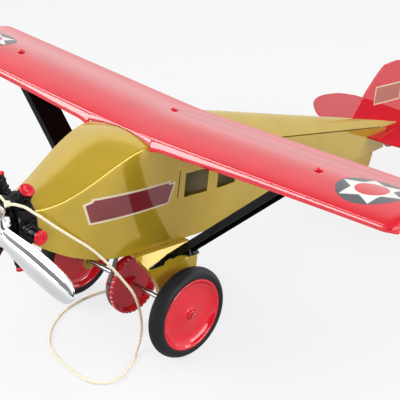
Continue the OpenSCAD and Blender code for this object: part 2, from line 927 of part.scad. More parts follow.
module right_strut() {
    color(black)
        stance()
            mirror([1, 0, 0])
                strut();
}

// Gear legs: bent plates under the belly that carry the axle
leg_flange = 20;
leg_lip = 6;
leg_lip_end = 9;
leg_rear_drop = 24;
leg_brow = [7 - leg_fore, leg_fold_h];
leg_knee = [-20.5, 26];
axle_bush_d = 9;

module leg_line() {
    top_x = leg_x - shelf_in;
    polygon([[top_x - leg_flange, belly_h - seat], [top_x - leg_flange, belly_h - seat - sheet],
        [top_x, belly_h - seat - sheet], [leg_x - sheet, leg_fold_h - 0.8], [leg_x - sheet, -leg_end_r - 1],
        [leg_x, -leg_end_r - 1], [leg_x, leg_fold_h], [top_x + 0.6, belly_h - seat]]);
}

module leg_outline() {
    union() {
        circle(r = leg_end_r);
        polygon([[-leg_fore, belly_h], leg_brow, leg_knee, [-leg_end_r * 0.97, leg_end_r * 0.24],
            [0, -leg_end_r * 0.8], [leg_end_r * 0.9, -leg_end_r * 0.35], [leg_aft, belly_h - leg_rear_drop],
            [leg_aft, belly_h]]);
    }
}

// Inward lip along the front edge, square to the shelf and to the upright
module leg_lip_band() {
    top_x = leg_x - shelf_in;
    polygon([[top_x, belly_h - seat - sheet / 2], [leg_x - sheet / 2, leg_fold_h - 0.3],
        [leg_x - sheet / 2, leg_lip_end], [leg_x - leg_lip, leg_lip_end], [leg_x - leg_lip, leg_fold_h - leg_lip * 0.43],
        [top_x - leg_lip * 0.4, belly_h - leg_lip]]);
}

module leg_lip_edge() {
    difference() {
        leg_outline();
        translate([sheet, 0])
            leg_outline();
    }
}

module leg() {
    difference() {
        union() {
            intersection() {
                lengthwise(-leg_fore, leg_aft)
                    leg_line();
                across(0, leg_x + 1)
                    leg_outline();
            }
            intersection() {
                lengthwise(-leg_fore, 0)
                    leg_lip_band();
                across(0, leg_x)
                    leg_lip_edge();
            }
        }
        along_x(0, 2 * leg_x, axle_bush_d + 2 * running);
        each_leg_rivet()
            cylinder(h = 10, d = rivet_d + 2 * running, center = true);
        each_strut_rivet()
            cylinder(h = 10, d = rivet_d + 2 * running, center = true);
    }
}

module left_leg() {
    color(olive)
        stance()
            leg();
}

module right_leg() {
    color(olive)
        stance()
            mirror([1, 0, 0])
                leg();
}

bush_len = 5;

module axle_bushes() {
    color(brass)
        stance()
            for (side = [0, 1])
                mirror([side, 0, 0])
                    difference() {
                        union() {
                            along_x(leg_x - sheet - 2, bush_len, axle_bush_d);
                            along_x(leg_x + seat / 2, bush_len - sheet - 2 - seat / 2, axle_bush_d + 4);
                        }
                        along_x(leg_x - 2 * bush_len, 4 * bush_len, axle_d + 2 * running);
                    }
}

// Wheels: dished red discs with rubber tyres, fast on the axle
wheel_in = track / 2 - tyre_w / 2;
wheel_out = wheel_in + tyre_w;
disc_r = disc_d / 2;
hub_d = 14;
web = 3;
axle_end = 2;

module disc_profile() {
    mid = tyre_w / 2;
    edge = mid - 0.6;
    polygon([[axle_d / 2 + running, -edge], [hub_d / 2 - 1.5, -edge], [hub_d / 2, -edge + 1.5],
        [hub_d / 2 + 2, -web], [disc_r * 0.5, -web], [disc_r * 0.56, -web - 1.6], [disc_r * 0.62, -web],
        [disc_r - 6, -web - 0.6], [disc_r - 2.2, -edge], [disc_r, -edge],
        [disc_r, edge], [disc_r - 2.2, edge], [disc_r - 6, web + 0.6], [disc_r * 0.62, web],
        [disc_r * 0.56, web + 1.6], [disc_r * 0.5, web], [hub_d / 2 + 2, web], [hub_d / 2, edge - 1.5],
        [hub_d / 2 - 1.5, edge], [axle_d / 2 + running, edge]]);
}

module tyre_profile() {
    mid = tyre_w / 2;
    difference() {
        intersection() {
            translate([disc_r + running, -mid])
                square([tyre_r - disc_r - running, tyre_w]);
            translate([tyre_r - mid * 1.15, 0])
                circle(r = mid * 1.15);
        }
        for (k = [-2:2])
            translate([tyre_r, k * tyre_w / 8])
                circle(d = 1);
    }
}

module on_axle(x) {
    translate([x, 0, 0])
        rotate([0, 90, 0])
            children();
}

module wheel_disc(x) {
    color(cherry)
        stance()
            on_axle(x)
                rotate_extrude()
                    disc_profile();
}

module wheel_tyre(x) {
    color(rubber)
        stance()
            on_axle(x)
                rotate_extrude()
                    tyre_profile();
}

module left_wheel() {
    wheel_disc(track / 2);
}

module right_wheel() {
    wheel_disc(-track / 2);
}

module left_tyre() {
    wheel_tyre(track / 2);
}

module right_tyre() {
    wheel_tyre(-track / 2);
}

module axle() {
    color(steel)
        stance()
            along_x(-wheel_out - axle_end, 2 * wheel_out + 2 * axle_end, axle_d);
}

spacer_d = 9;

module wheel_spacers() {
    from = leg_x + bush_len - sheet - 2 + seat;
    color(steel)
        stance()
            for (side = [0, 1])
                mirror([side, 0, 0])
                    difference() {
                        along_x(from, wheel_in + 0.6 - seat / 2 - from, spacer_d);
                        along_x(0, 2 * track, axle_d + 2 * running);
                    }
}

// Drive pulley: a dished disc with a crimped rim and a belt groove behind it
crimp_r = 1.3;
pulley_back = 5;

module drive_pulley() {
    edge = pulley_d / 2;
    mid = groove_d / 2 + belt_d / 2;
    wall = belt_d / 2 + belt_side;
    color(cherry)
        stance()
            on_axle(0)
                difference() {
                    rotate_extrude()
                        difference() {
                            polygon([[axle_d / 2 + running, -pulley_back], [6, -pulley_back], [7.5, -wall - 0.9],
                                [mid - 1, -wall - 0.9], [mid + 0.6, -wall - 1.3], [mid + 0.6, -wall - 0.3],
                                [mid, -wall], [mid, wall], [edge, wall + 2], [edge, pulley_dish],
                                [edge - 2.4, pulley_dish], [edge - 5, wall + 0.9], [7.5, wall + 0.9],
                                [6, pulley_dish], [axle_d / 2 + running, pulley_dish]]);
                            translate([mid, 0])
                                circle(r = wall);
                        }
                    for (k = [0:pulley_crimps - 1])
                        rotate([0, 0, 360 / pulley_crimps * k])
                            translate([edge + 0.3, 0, wall])
                                cylinder(h = pulley_dish, r = crimp_r, $fn = 16);
                }
}

// Tail: tailplane through the side panels, fin through the deck
stab_front = tail_slot_front;
tail_edge = tail_reach + tail_over;
stab_half = tail_span / 2;
stab_side = [[0, stab_front], [40, stab_front + 4], [stab_half - 49, stab_front + 14],
    [stab_half - 24, stab_front + 35], [stab_half - 7, stab_front + 57], [stab_half, stab_front + 82],
    [stab_half - 5, tail_edge - 14], [stab_half - 18, tail_edge - 4], [stab_half - 35, tail_edge], [0, tail_edge]];

module stab_plan() {
    side = smooth(stab_side, 6);
    difference() {
        polygon(concat(side, [for (p = flip(side)) [-p[0], p[1]]]));
        translate([-sheet / 2 - seat, tail_reach + 1])
            square([sheet + 2 * seat, tail_edge]);
    }
}

module tailplane() {
    color(cherry)
        stance()
            translate([0, 0, tail_h])
                linear_extrude(sheet)
                    stab_plan();
}

fin_tab = 7;
rudder_y = tail_reach + 2.5;
rudder_foot = 62;
rudder_reach = tail_reach + rudder_over;
fin_curve = [[fin_front, ridge_z(fin_front) + 1], [fin_front + 19, fin_top - 30], [fin_front + 43, fin_top - 5.5],
    [fin_front + 58, fin_top - 0.5], [fin_front + 75, fin_top], [rudder_reach - 31, fin_top - 5],
    [rudder_reach - 12, fin_top - 18], [rudder_reach - 2, fin_top - 38], [rudder_reach, fin_top - 60],
    [rudder_reach - 6, rudder_foot + 24], [rudder_reach - 19, rudder_foot + 8], [rudder_reach - 36, rudder_foot],
    [rudder_y + 10, rudder_foot], [rudder_y + 2, rudder_foot + 5], [rudder_y, rudder_foot + 14]];

module fin_outline() {
    polygon(concat(smooth(fin_curve, 5),
        [[rudder_y, ridge_z(rudder_y) - fin_tab], [fin_front, ridge_z(fin_front) - fin_tab]]));
}

module fin() {
    color(cherry)
        stance()
            across(-sheet / 2, sheet / 2)
                fin_outline();
}

// Tail wheel in a forked bracket
fork_y = tail_reach - 43;
fork_len = 36;
fork_gap = 11;
tail_r = tail_tyre_d / 2;
tail_wheel_w = 9;
tail_wheel_z = (tail_r - tyre_r + fork_y * sin(nose_up)) / cos(nose_up);
tail_pin_d = 3;
fork_top = keel_z(fork_y - fork_len / 2) - seat;

module fork_outline() {
    union() {
        translate([fork_y, tail_wheel_z])
            circle(r = 6);
        polygon([[fork_y - 6, tail_wheel_z], [fork_y + 6, tail_wheel_z],
            [fork_y + fork_len / 2, keel_z(fork_y + fork_len / 2) - seat], [fork_y - fork_len / 2, fork_top]]);
    }
}

module tail_fork() {
    color(olive)
        stance()
            difference() {
                union() {
                    for (x = [-fork_gap / 2 - sheet, fork_gap / 2])
                        across(x, x + sheet)
                            fork_outline();
                    across(-fork_gap / 2 - sheet / 2, fork_gap / 2 + sheet / 2)
                        polygon([[fork_y - fork_len / 2, fork_top], [fork_y + fork_len / 2,
                            keel_z(fork_y + fork_len / 2) - seat], [fork_y + fork_len / 2,
                            keel_z(fork_y + fork_len / 2) - seat - sheet], [fork_y - fork_len / 2, fork_top - sheet]]);
                }
                translate([0, fork_y, tail_wheel_z])
                    along_x(-fork_gap, 2 * fork_gap, tail_pin_d + 2 * running);
            }
}

module tail_pin() {
    color(steel)
        stance()
            translate([0, fork_y, tail_wheel_z])
                union() {
                    along_x(-fork_gap / 2 - sheet - 1, fork_gap + 2 * sheet + 2, tail_pin_d);
                    along_x(-fork_gap / 2 - sheet - 2, 2 - seat / 2, tail_pin_d + 3);
                    along_x(fork_gap / 2 + sheet + seat / 2, 2, tail_pin_d + 3);
                }
}

module tail_wheel() {
    color(cherry)
        stance()
            translate([0, fork_y, tail_wheel_z])
                on_axle(0)
                    rotate_extrude()
                        polygon([[tail_pin_d / 2 + running, -tail_wheel_w / 2], [4, -tail_wheel_w / 2], [5, -2],
                            [tail_r - 7, -2], [tail_r - 5.5, -3.5], [tail_r - 5, -3.5], [tail_r - 5, 3.5],
                            [tail_r - 5.5, 3.5], [tail_r - 7, 2], [5, 2], [4, tail_wheel_w / 2],
                            [tail_pin_d / 2 + running, tail_wheel_w / 2]]);
}

module tail_tyre() {
    color(rubber)
        stance()
            translate([0, fork_y, tail_wheel_z])
                on_axle(0)
                    rotate_extrude()
                        intersection() {
                            translate([tail_r - 5 + running, -tail_wheel_w / 2])
                                square([5 - running, tail_wheel_w]);
                            translate([tail_r - tail_wheel_w * 0.6, 0])
                                circle(r = tail_wheel_w * 0.6);
                        }
}

// Pull cord, tied round the crankcase boss behind the propeller and laid out loosely on the floor.
// The points are in the standing frame, chosen by hand along the way the cord falls.
cord_route = [[8, -142, 184], [16, -141.5, 187.5], [24, -141, 189], [30, -138.5, 188], [36, -135, 184],
    [38, -130, 179], [39, -120, 168.5], [40, -103, 152], [44, -88, 137.5], [46, -77, 125], [47, -65, 109.5],
    [48, -53, 92], [47, -39, 71], [45, -30, 52], [42, -24, 32], [41, -23, 18], [42, -26.5, 8], [46, -34, 3],
    [56, -48, 2], [66, -72, 2], [63, -88, 2], [49, -97, 2], [24, -97, 2], [1, -93, 2], [-19, -86, 2],
    [-36, -72, 2], [-48, -56, 2], [-57, -37, 2], [-60, -20, 2], [-60, 0, 2], [-55, 20, 2], [-44, 36, 2],
    [-28, 46, 2], [-10, 50, 2], [8, 50, 2], [26, 48, 2]];
cord_loop_y = case_front - boss_len * 0.55;
knot_d = 6.5;

module open_tube(path, d, sides) {
    last = len(path) - 1;
    ways = [for (k = [0:last]) unit(path[min(k + 1, last)] - path[max(k - 1, 0)])];
    points = concat([for (k = [0:last])
        let (n = unit(cross(ways[k], [0.25, 0.1, 1])), b = cross(ways[k], n))
        for (s = [0:sides - 1])
            path[k] + d / 2 * (n * cos(360 / sides * s) + b * sin(360 / sides * s))]);
    skin = [for (k = [0:last - 1], s = [0:sides - 1])
        let (a = k * sides + s, b = k * sides + (s + 1) % sides)
        each [[a, b + sides, b], [a, a + sides, b + sides]]];
    ends = [[for (s = [0:sides - 1]) s], [for (s = [sides - 1:-1:0]) last * sides + s]];
    polyhedron(points, concat(skin, ends));
}

cord_end = cord_route[len(cord_route) - 1];

module at_knots() {
    translate(cord_route[0])
        children();
    translate([cord_end[0], cord_end[1], knot_d / 2 + 0.4])
        children();
}

module pull_cord() {
    color(cotton)
        difference() {
            open_tube(smooth(cord_route, 2), cord_d, 8);
            at_knots()
                sphere(d = knot_d + 2 * seat, $fn = 24);
        }
}

module cord_knots() {
    color(cotton)
        union() {
            stance()
                translate([0, cord_loop_y, thrust_h])
                    rotate([90, 0, 0])
                        rotate_extrude()
                            translate([boss_d / 2 + cord_d / 2 + seat, 0])
                                circle(d = cord_d, $fn = 16);
            at_knots()
                sphere(d = knot_d, $fn = 24);
        }
}

left_side_panel();
right_side_panel();
hood();
aft_deck();
belly_pan();
nose_plate();
crankcase();
engine_barrels();
barrel_caps();
prop_shaft();
front_bush();
shaft_pulley();
rear_bracket();
rear_bush();
propeller();
prop_nut();
belt();
wing();
wing_screws();
left_strut();
right_strut();
left_leg();
right_leg();
axle_bushes();
left_wheel();
right_wheel();
left_tyre();
right_tyre();
axle();
wheel_spacers();
drive_pulley();
tailplane();
fin();
tail_fork();
tail_pin();
tail_wheel();
tail_tyre();
strut_rivets();
leg_rivets();
pull_cord();
cord_knots();
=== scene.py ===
# %% [markdown]
# # A pull-along toy mail plane
# The toy is pressed steel, baked enamel and rubber. The CAD model already gives every piece its place, so
# this lesson only dresses it: smoother skins, rolled edges, paint, chrome, rubber and cotton. Everything
# ends in metres and in the frame of the CAD, so no piece has to be moved into place.

# %% load the CAD frame
import json
from math import acos, atan2, copysign, cos, dist, hypot, pi, radians, sin, sqrt, tan
import bpy
import bmesh
from mathutils import Matrix, Vector


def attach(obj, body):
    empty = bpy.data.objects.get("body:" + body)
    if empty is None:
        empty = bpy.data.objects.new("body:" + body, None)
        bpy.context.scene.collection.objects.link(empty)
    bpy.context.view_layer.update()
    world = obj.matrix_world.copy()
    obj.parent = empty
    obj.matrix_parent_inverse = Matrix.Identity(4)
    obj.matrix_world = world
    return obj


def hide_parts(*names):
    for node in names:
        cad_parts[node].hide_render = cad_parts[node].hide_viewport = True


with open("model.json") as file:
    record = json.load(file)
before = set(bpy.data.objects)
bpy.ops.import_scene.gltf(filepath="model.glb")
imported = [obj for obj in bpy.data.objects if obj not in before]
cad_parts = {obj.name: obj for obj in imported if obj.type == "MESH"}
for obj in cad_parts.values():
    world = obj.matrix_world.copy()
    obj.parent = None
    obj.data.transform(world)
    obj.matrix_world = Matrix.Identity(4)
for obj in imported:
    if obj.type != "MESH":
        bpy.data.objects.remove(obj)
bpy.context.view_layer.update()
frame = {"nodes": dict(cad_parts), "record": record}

# %% [markdown]
# The photograph was taken from ahead of the left wing, a little above it. A camera is a place, a direction
# and a lens. All three were solved from straight edges in the photograph.

# %% the camera
CAMERA_PLACE, AZIMUTH, ELEVATION = (0.7823, -0.6959, 0.6724), radians(44.59), radians(27.27)
FOCAL_PX, FRAME_PX, SENSOR_MM, NEAR_M = 1255.5, 400, 36, 0.02


def add_object(name, data):
    obj = bpy.data.objects.new(name, data)
    bpy.context.collection.objects.link(obj)
    return obj


right = Vector((cos(AZIMUTH), sin(AZIMUTH), 0))
back = Vector((sin(AZIMUTH) * cos(ELEVATION), -cos(AZIMUTH) * cos(ELEVATION), sin(ELEVATION)))
turn = Matrix((right, back.cross(right), back)).transposed()
lens = bpy.data.cameras.new("photo_camera")
lens.sensor_fit = "HORIZONTAL"
lens.sensor_width = SENSOR_MM
lens.lens = SENSOR_MM * FOCAL_PX / FRAME_PX
lens.clip_start = NEAR_M
camera = add_object("photo_camera", lens)
camera.matrix_world = Matrix.LocRotScale(Vector(CAMERA_PLACE), turn, None)
bpy.context.scene.camera = camera
print("lens", round(lens.lens, 1), "mm")

# %% [markdown]
# The airframe is easiest to draw level, in millimetres, with the wheel axle as its origin. One matrix then
# stands it on its wheels. Only what lies on the floor, such as the cord, is drawn in the standing frame.

# %% level drawing frame to standing frame
MM = 0.001
TYRE_R, NOSE_UP = 45.0, radians(7.5)
FLOOR_MM = Matrix.Scale(MM, 4)
STAND = Matrix.Translation((0, 0, TYRE_R * MM)) @ Matrix.Rotation(-NOSE_UP, 4, "X") @ FLOOR_MM
WELD_M = 1e-7


def piece(name, verts, faces, slot, body="airframe", smooth=True, matrix=STAND):
    mesh = bpy.data.meshes.new(name)
    mesh.from_pydata([matrix @ Vector(v) for v in verts], [], faces)
    mesh.update()
    bm = bmesh.new()
    bm.from_mesh(mesh)
    bmesh.ops.remove_doubles(bm, verts=bm.verts, dist=WELD_M)
    bmesh.ops.recalc_face_normals(bm, faces=bm.faces)
    for face in bm.faces:
        face.smooth = smooth
    bm.to_mesh(mesh)
    bm.free()
    obj = add_object(name, mesh)
    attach(obj, body)
    return obj


def grid_faces(rows, cols, closed_cols=False, closed_rows=False):
    faces = []
    for j in range(rows if closed_rows else rows - 1):
        here, there = j * cols, (j + 1) % rows * cols
        for i in range(cols if closed_cols else cols - 1):
            after = (i + 1) % cols
            faces.append((here + i, here + after, there + after, there + i))
    return faces


def join_parts(parts):
    verts, faces = [], []
    for part_verts, part_faces in parts:
        first = len(verts)
        verts.extend(part_verts)
        faces.extend(tuple(first + k for k in face) for face in part_faces)
    return verts, faces


def face_out(obj, out):
    out = Vector(out)
    furthest = max(obj.data.polygons, key=lambda face: face.center.dot(out))
    if furthest.normal.dot(out) < 0:
        obj.data.flip_normals()


print("standing matrix", [round(x, 4) for x in STAND.translation])

# %% [markdown]
# Cords, belts and beads are all the same idea: a small outline carried along a line. The outline must not
# spin as the line turns, so each ring takes only the smallest turn that follows the line.

# %% lines through a few points
def smooth_line(points, count):
    points = [Vector(p) for p in points]
    last = len(points) - 1
    line = []
    for k in range(last):
        a, b, c, d = points[max(k - 1, 0)], points[k], points[k + 1], points[min(k + 2, last)]
        for j in range(count):
            t = j / count
            square, cube = 2 * a - 5 * b + 4 * c - d, 3 * b - a - 3 * c + d
            line.append(0.5 * (2 * b + (c - a) * t + square * t * t + cube * t ** 3))
    return line + [points[last]]


def even_line(points, step):
    line, left = [points[0].copy()], step
    for a, b in zip(points, points[1:]):
        length = (b - a).length
        while left < length:
            line.append(a.lerp(b, left / length))
            left += step
        left -= length
    if (line[-1] - points[-1]).length > step * 0.3:
        line.append(points[-1].copy())
    return line


print("line helpers ready")

# %% sweeping an outline along a line
PLIES, PLY_DEPTH, PLY_TURN = 3, 0.12, 2 * pi / 9


def sweep(points, outline, closed=False, twist=0.0):
    count, sides = len(points), len(outline)

    def way(k):
        if closed:
            return (points[(k + 1) % count] - points[k - 1]).normalized()
        return (points[min(k + 1, count - 1)] - points[max(k - 1, 0)]).normalized()

    t = way(0)
    side = t.orthogonal().normalized()
    verts, run = [], 0.0
    for k in range(count):
        turn = t.rotation_difference(way(k))
        t, side = way(k), (turn @ side)
        side = (side - t * side.dot(t)).normalized()
        other = t.cross(side)
        if k:
            run += (points[k] - points[k - 1]).length
        for angle, radius in outline:
            a = angle + twist * run
            verts.append(points[k] + radius * (cos(a) * side + sin(a) * other))
    faces = grid_faces(count, sides, closed_cols=True, closed_rows=closed)
    if not closed:
        faces.append(tuple(reversed(range(sides))))
        faces.append(tuple(range((count - 1) * sides, count * sides)))
    return verts, faces


def circle_angles(count):
    return [2 * pi * k / count for k in range(count)]


def round_outline(radius, sides):
    return [(a, radius) for a in circle_angles(sides)]


def twisted(points, radius, sides, closed=False):
    outline = [(a, radius * (1 - PLY_DEPTH + PLY_DEPTH * cos(PLIES * a))) for a in circle_angles(sides)]
    return sweep(points, outline, closed, PLY_TURN)


print("sweep helpers ready")

# %% [markdown]
# The pull cord is three plies of soft cotton. It is tied round the crankcase boss behind the propeller,
# springs out past the engine, falls beside the nose and lies in an open loop on the floor. Its points are
# those of the CAD route. A three-lobed outline that turns as it goes gives the twist.

# %% the pull cord
CORD_R, CORD_STEP = 1.5, 1.1
CORD_ROUTE = [
    (8, -142, 184), (16, -141.5, 187.5), (24, -141, 189), (30, -138.5, 188), (36, -135, 184), (38, -130, 179),
    (39, -120, 168.5), (40, -103, 152), (44, -88, 137.5), (46, -77, 125), (47, -65, 109.5), (48, -53, 92),
    (47, -39, 71), (45, -30, 52), (42, -24, 32), (41, -23, 18), (42, -26.5, 8), (46, -34, 3), (56, -48, 2),
    (66, -72, 2), (63, -88, 2), (49, -97, 2), (24, -97, 2), (1, -93, 2), (-19, -86, 2), (-36, -72, 2),
    (-48, -56, 2), (-57, -37, 2), (-60, -20, 2), (-60, 0, 2), (-55, 20, 2), (-44, 36, 2), (-28, 46, 2),
    (-10, 50, 2), (8, 50, 2), (26, 48, 2)]
cord_line = even_line(smooth_line(CORD_ROUTE, 12), CORD_STEP)
verts, faces = twisted(cord_line, CORD_R, 15)
pull_cord = piece("pull_cord_cotton", verts, faces, "cotton_cord", matrix=FLOOR_MM)
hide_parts("pull_cord")

# %% [markdown]
# A knot in thick cord reads as a tangle of two or three turns. A trefoil, the simplest closed knot, gives
# that from one formula. One stands where the cord leaves the loop round the boss and one stops the far end.

# %% two knots and the loop round the boss
THRUST_Z, LOOP_R, LOOP_Y, KNOT_CORD_R, LOOSE_CORD_R = 99.0, 16.6, -158.3, 1.4, 1.3
LEVEL_TO_FLOOR = FLOOR_MM.inverted() @ STAND


def tied_knot(centre, size, turn):
    ring = []
    for t in circle_angles(72):
        across = sin(t) + 2 * sin(2 * t), cos(t) - 2 * cos(2 * t)
        ring.append(Vector(centre) + turn @ (Vector((*across, -1.3 * sin(3 * t))) * size))
    return twisted(ring, KNOT_CORD_R, 12, closed=True)


boss_loop = [LEVEL_TO_FLOOR @ Vector((LOOP_R * sin(a), LOOP_Y, THRUST_Z + LOOP_R * cos(a)))
             for a in circle_angles(120)]
LOOSE_END = [CORD_ROUTE[0], (5, -143, 188), (1, -143.5, 190.5), (-3, -143, 190), (-6, -142.5, 188)]
knot_parts = [
    twisted(boss_loop, CORD_R, 12, closed=True),
    tied_knot((8.6, -142, 185.4), 0.8, Matrix.Rotation(0.7, 3, "X")),
    twisted(smooth_line(LOOSE_END, 8), LOOSE_CORD_R, 12),
    tied_knot((26.5, 48, 3.6), 0.7, Matrix.Rotation(0.25, 3, "Y"))]
verts, faces = join_parts(knot_parts)
cord_knots = piece("cord_knots_tied", verts, faces, "cotton_cord", matrix=FLOOR_MM)
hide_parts("cord_knots")
print("knots tied")

# %% [markdown]
# Every finish below is a small tree of shader nodes: noise for uneven tone, a ramp to turn noise into
# colours or roughness, a bump for fine relief. Each gets a helper, so that a finish reads as a short
# recipe.

# %% shader helpers
MIX_FACTOR, MIX_A, MIX_B, MIX_RESULT = 0, 6, 7, 2


def node_material(name):
    material = bpy.data.materials.new(name)
    material.use_nodes = True
    return material, material.node_tree, material.node_tree.nodes["Principled BSDF"]


def add_node(tree, kind):
    return tree.nodes.new("ShaderNode" + kind)


def feed(tree, socket, value):
    if isinstance(value, bpy.types.NodeSocket):
        tree.links.new(value, socket)
    elif isinstance(value, tuple):
        socket.default_value = (*value, 1)
    else:
        socket.default_value = value


def set_sockets(tree, node, values):
    for word, value in values.items():
        feed(tree, node.inputs[word], value)


def add_noise(tree, scale, detail=3.0, rough=0.5, stretch=None):
    where = add_node(tree, "TexCoord").outputs["Object"]
    if stretch:
        mapping = add_node(tree, "Mapping")
        mapping.inputs["Scale"].default_value = stretch
        tree.links.new(where, mapping.inputs["Vector"])
        where = mapping.outputs["Vector"]
    noise = add_node(tree, "TexNoise")
    set_sockets(tree, noise, {"Vector": where, "Scale": scale, "Detail": detail, "Roughness": rough})
    return noise.outputs["Fac"]


def add_ramp(tree, fac, stops):
    ramp = add_node(tree, "ValToRGB")
    while len(ramp.color_ramp.elements) < len(stops):
        ramp.color_ramp.elements.new(0.5)
    for element, (place, colour) in zip(ramp.color_ramp.elements, stops):
        element.position = place
        element.color = (*colour, 1)
    tree.links.new(fac, ramp.inputs["Fac"])
    return ramp.outputs["Color"]


def grey(v):
    return (v, v, v)


def add_bump(tree, height, strength, distance, before=None):
    bump = add_node(tree, "Bump")
    set_sockets(tree, bump, {"Strength": strength, "Distance": distance, "Height": height})
    if before:
        tree.links.new(before, bump.inputs["Normal"])
    return bump.outputs["Normal"]


def mix_colours(tree, fac, a, b, blend="MIX"):
    mix = add_node(tree, "Mix")
    mix.data_type = "RGBA"
    mix.blend_type = blend
    for k, value in ((MIX_FACTOR, fac), (MIX_A, a), (MIX_B, b)):
        feed(tree, mix.inputs[k], value)
    return mix.outputs[MIX_RESULT]


print("shader helpers ready")

# %% [markdown]
# Paint is not one flat colour. Baked enamel is a colour coat with a slight drift in tone, a clear gloss on
# top and a faint orange-peel texture. Pointiness tells corners from creases, so corners are rubbed in
# specks, and creases are darkened with painted shade. The olive is thin enough for the tin to shine
# through in its colour, so part of it counts as metal.

# %% enamel
TONE_SCALE, SPECK_SCALE, SMEAR_SCALE, PEEL_SCALE, WAVE_SCALE = 28, 520, 60, 900, 16
PEEL, PEEL_DEPTH, WAVE_DEPTH = 0.006, 0.0003, 0.004
# The last share on the next line is how much of the dark tone the creases keep, as painted shade.
BARE_STEEL, DARK_STEEL, CREASE_SHADE_SHARE = (0.2, 0.18, 0.15), (0.06, 0.06, 0.06), 0.3
CLEAR_COAT = {"Specular IOR Level": 0.0, "Coat Roughness": 0.03, "Coat IOR": 1.6}


# The tone drifts at random, corners are rubbed to bare steel in specks as wear, and creases are darkened as
# painted shade.
def worn_and_shaded_tone(tree, light, dark, worn):
    tone = add_ramp(tree, add_noise(tree, TONE_SCALE, 2), [(0.3, dark), (0.7, light)])
    corner = add_node(tree, "NewGeometry").outputs["Pointiness"]
    # Concave creases are darkened towards a third of the dark tone: painted shade, not dirt.
    crease_shade = add_ramp(tree, corner, [(0.40, grey(0.8)), (0.47, grey(0))])
    tone = mix_colours(tree, crease_shade, tone, tuple(CREASE_SHADE_SHARE * x for x in dark))
    rubbed = add_ramp(tree, corner, [(0.60, grey(0)), (0.68, grey(0.7))])
    specks = add_ramp(tree, add_noise(tree, SPECK_SCALE, 4, 0.65), [(0.56, grey(0)), (0.66, grey(1))])
    return mix_colours(tree, mix_colours(tree, 1.0, rubbed, specks, "MULTIPLY"), tone, worn)


def enamel(name, light, dark, gloss=0.3, waves=0.0, coat=1.0, tin=0.0, worn=BARE_STEEL):
    material, tree, shader = node_material(name)
    smear = add_noise(tree, SMEAR_SCALE, 5, 0.6)
    rough = add_ramp(tree, smear, [(0.3, grey(gloss * 0.8)), (0.75, grey(gloss * 1.2))])
    normal = add_bump(tree, add_noise(tree, PEEL_SCALE, 2), PEEL, PEEL_DEPTH)
    if waves:
        normal = add_bump(tree, add_noise(tree, WAVE_SCALE, 1), waves, WAVE_DEPTH, normal)
        tree.links.new(normal, shader.inputs["Coat Normal"])
    set_sockets(tree, shader, {"Base Color": worn_and_shaded_tone(tree, light, dark, worn), "Roughness": rough,
                               "Normal": normal, "Metallic": tin, "Coat Weight": coat, **CLEAR_COAT})
    return material


RED_TONES = (0.62, 0.009, 0.024), (0.56, 0.007, 0.019)
OLIVE = enamel("olive_enamel", (0.51, 0.350, 0.028), (0.46, 0.315, 0.022), gloss=0.16, waves=0.012,
               coat=0.8, tin=0.3)
RED = enamel("red_enamel", *RED_TONES, waves=0.01)
DULL_RED = enamel("dull_red_enamel", *RED_TONES, waves=0.01, coat=0.5)
# The wheel red is a lighter copy of the wing red. It makes up for the side-facing wheels getting less light
# than the wing's top: painted light.
LIT_WHEEL_RED = enamel("wheel_enamel_painted_light", (0.72, 0.010, 0.026), (0.66, 0.008, 0.021))
BLACK = enamel("black_enamel", (0.005, 0.005, 0.006), (0.003, 0.003, 0.004), gloss=0.25, coat=0.22,
               worn=DARK_STEEL)
# The inside primer is much paler than the outside paint, so the shaded inside seen through the windows reads
# as lit: painted light.
INSIDE_LIGHTENED = enamel("inside_primer_painted_light", (0.74, 0.67, 0.44), (0.66, 0.58, 0.36), gloss=0.6, coat=0.1)
MAROON = enamel("maroon_print", (0.21, 0.022, 0.030), (0.16, 0.016, 0.022), gloss=0.25)
ROSE = enamel("rose_print", (0.46, 0.17, 0.13), (0.40, 0.14, 0.105), gloss=0.3, coat=0.5)
print("enamels mixed")

# %% [markdown]
# Bare metals are told apart by roughness and marks more than by colour: chrome is a mirror with hairlines,
# drawn steel has fine lines along it, and turned brass is duller. Rubber and cotton hardly shine at all,
# and printer's ink is an even, thin film.

# %% metals, rubber, cotton and print
METAL_TONE_SCALE, HAIRLINE, HAIRLINE_DEPTH = 45, 0.05, 0.0002
INK_GRAIN, INK_SCALE, INK_DEPTH = 0.1, 1200, 0.0001


def bare_metal(name, light, dark, rough, line_scale, stretch=None):
    material, tree, shader = node_material(name)
    tone = add_ramp(tree, add_noise(tree, METAL_TONE_SCALE, 4), [(0.3, dark), (0.7, light)])
    fine = add_noise(tree, line_scale, 3, 0.6, stretch)
    polish = add_ramp(tree, fine, [(0.3, grey(rough * 0.6)), (0.75, grey(rough * 1.6))])
    normal = add_bump(tree, fine, HAIRLINE, HAIRLINE_DEPTH)
    set_sockets(tree, shader, {"Base Color": tone, "Roughness": polish, "Normal": normal, "Metallic": 1})
    return material


def dull(name, light, dark, rough, grain, grain_scale, depth, tone_scale=90, **sockets):
    material, tree, shader = node_material(name)
    tone = add_ramp(tree, add_noise(tree, tone_scale, 4), [(0.3, dark), (0.72, light)])
    fine = add_noise(tree, grain_scale, 4, 0.6)
    matt = add_ramp(tree, fine, [(0.3, grey(rough * 0.85)), (0.75, grey(min(1, rough * 1.15)))])
    normal = add_bump(tree, fine, grain, depth)
    set_sockets(tree, shader, {"Base Color": tone, "Roughness": matt, "Normal": normal, **sockets})
    return material


def ink(name, light, dark, rough=0.3):
    return dull(name, light, dark, rough, INK_GRAIN, INK_SCALE, INK_DEPTH)


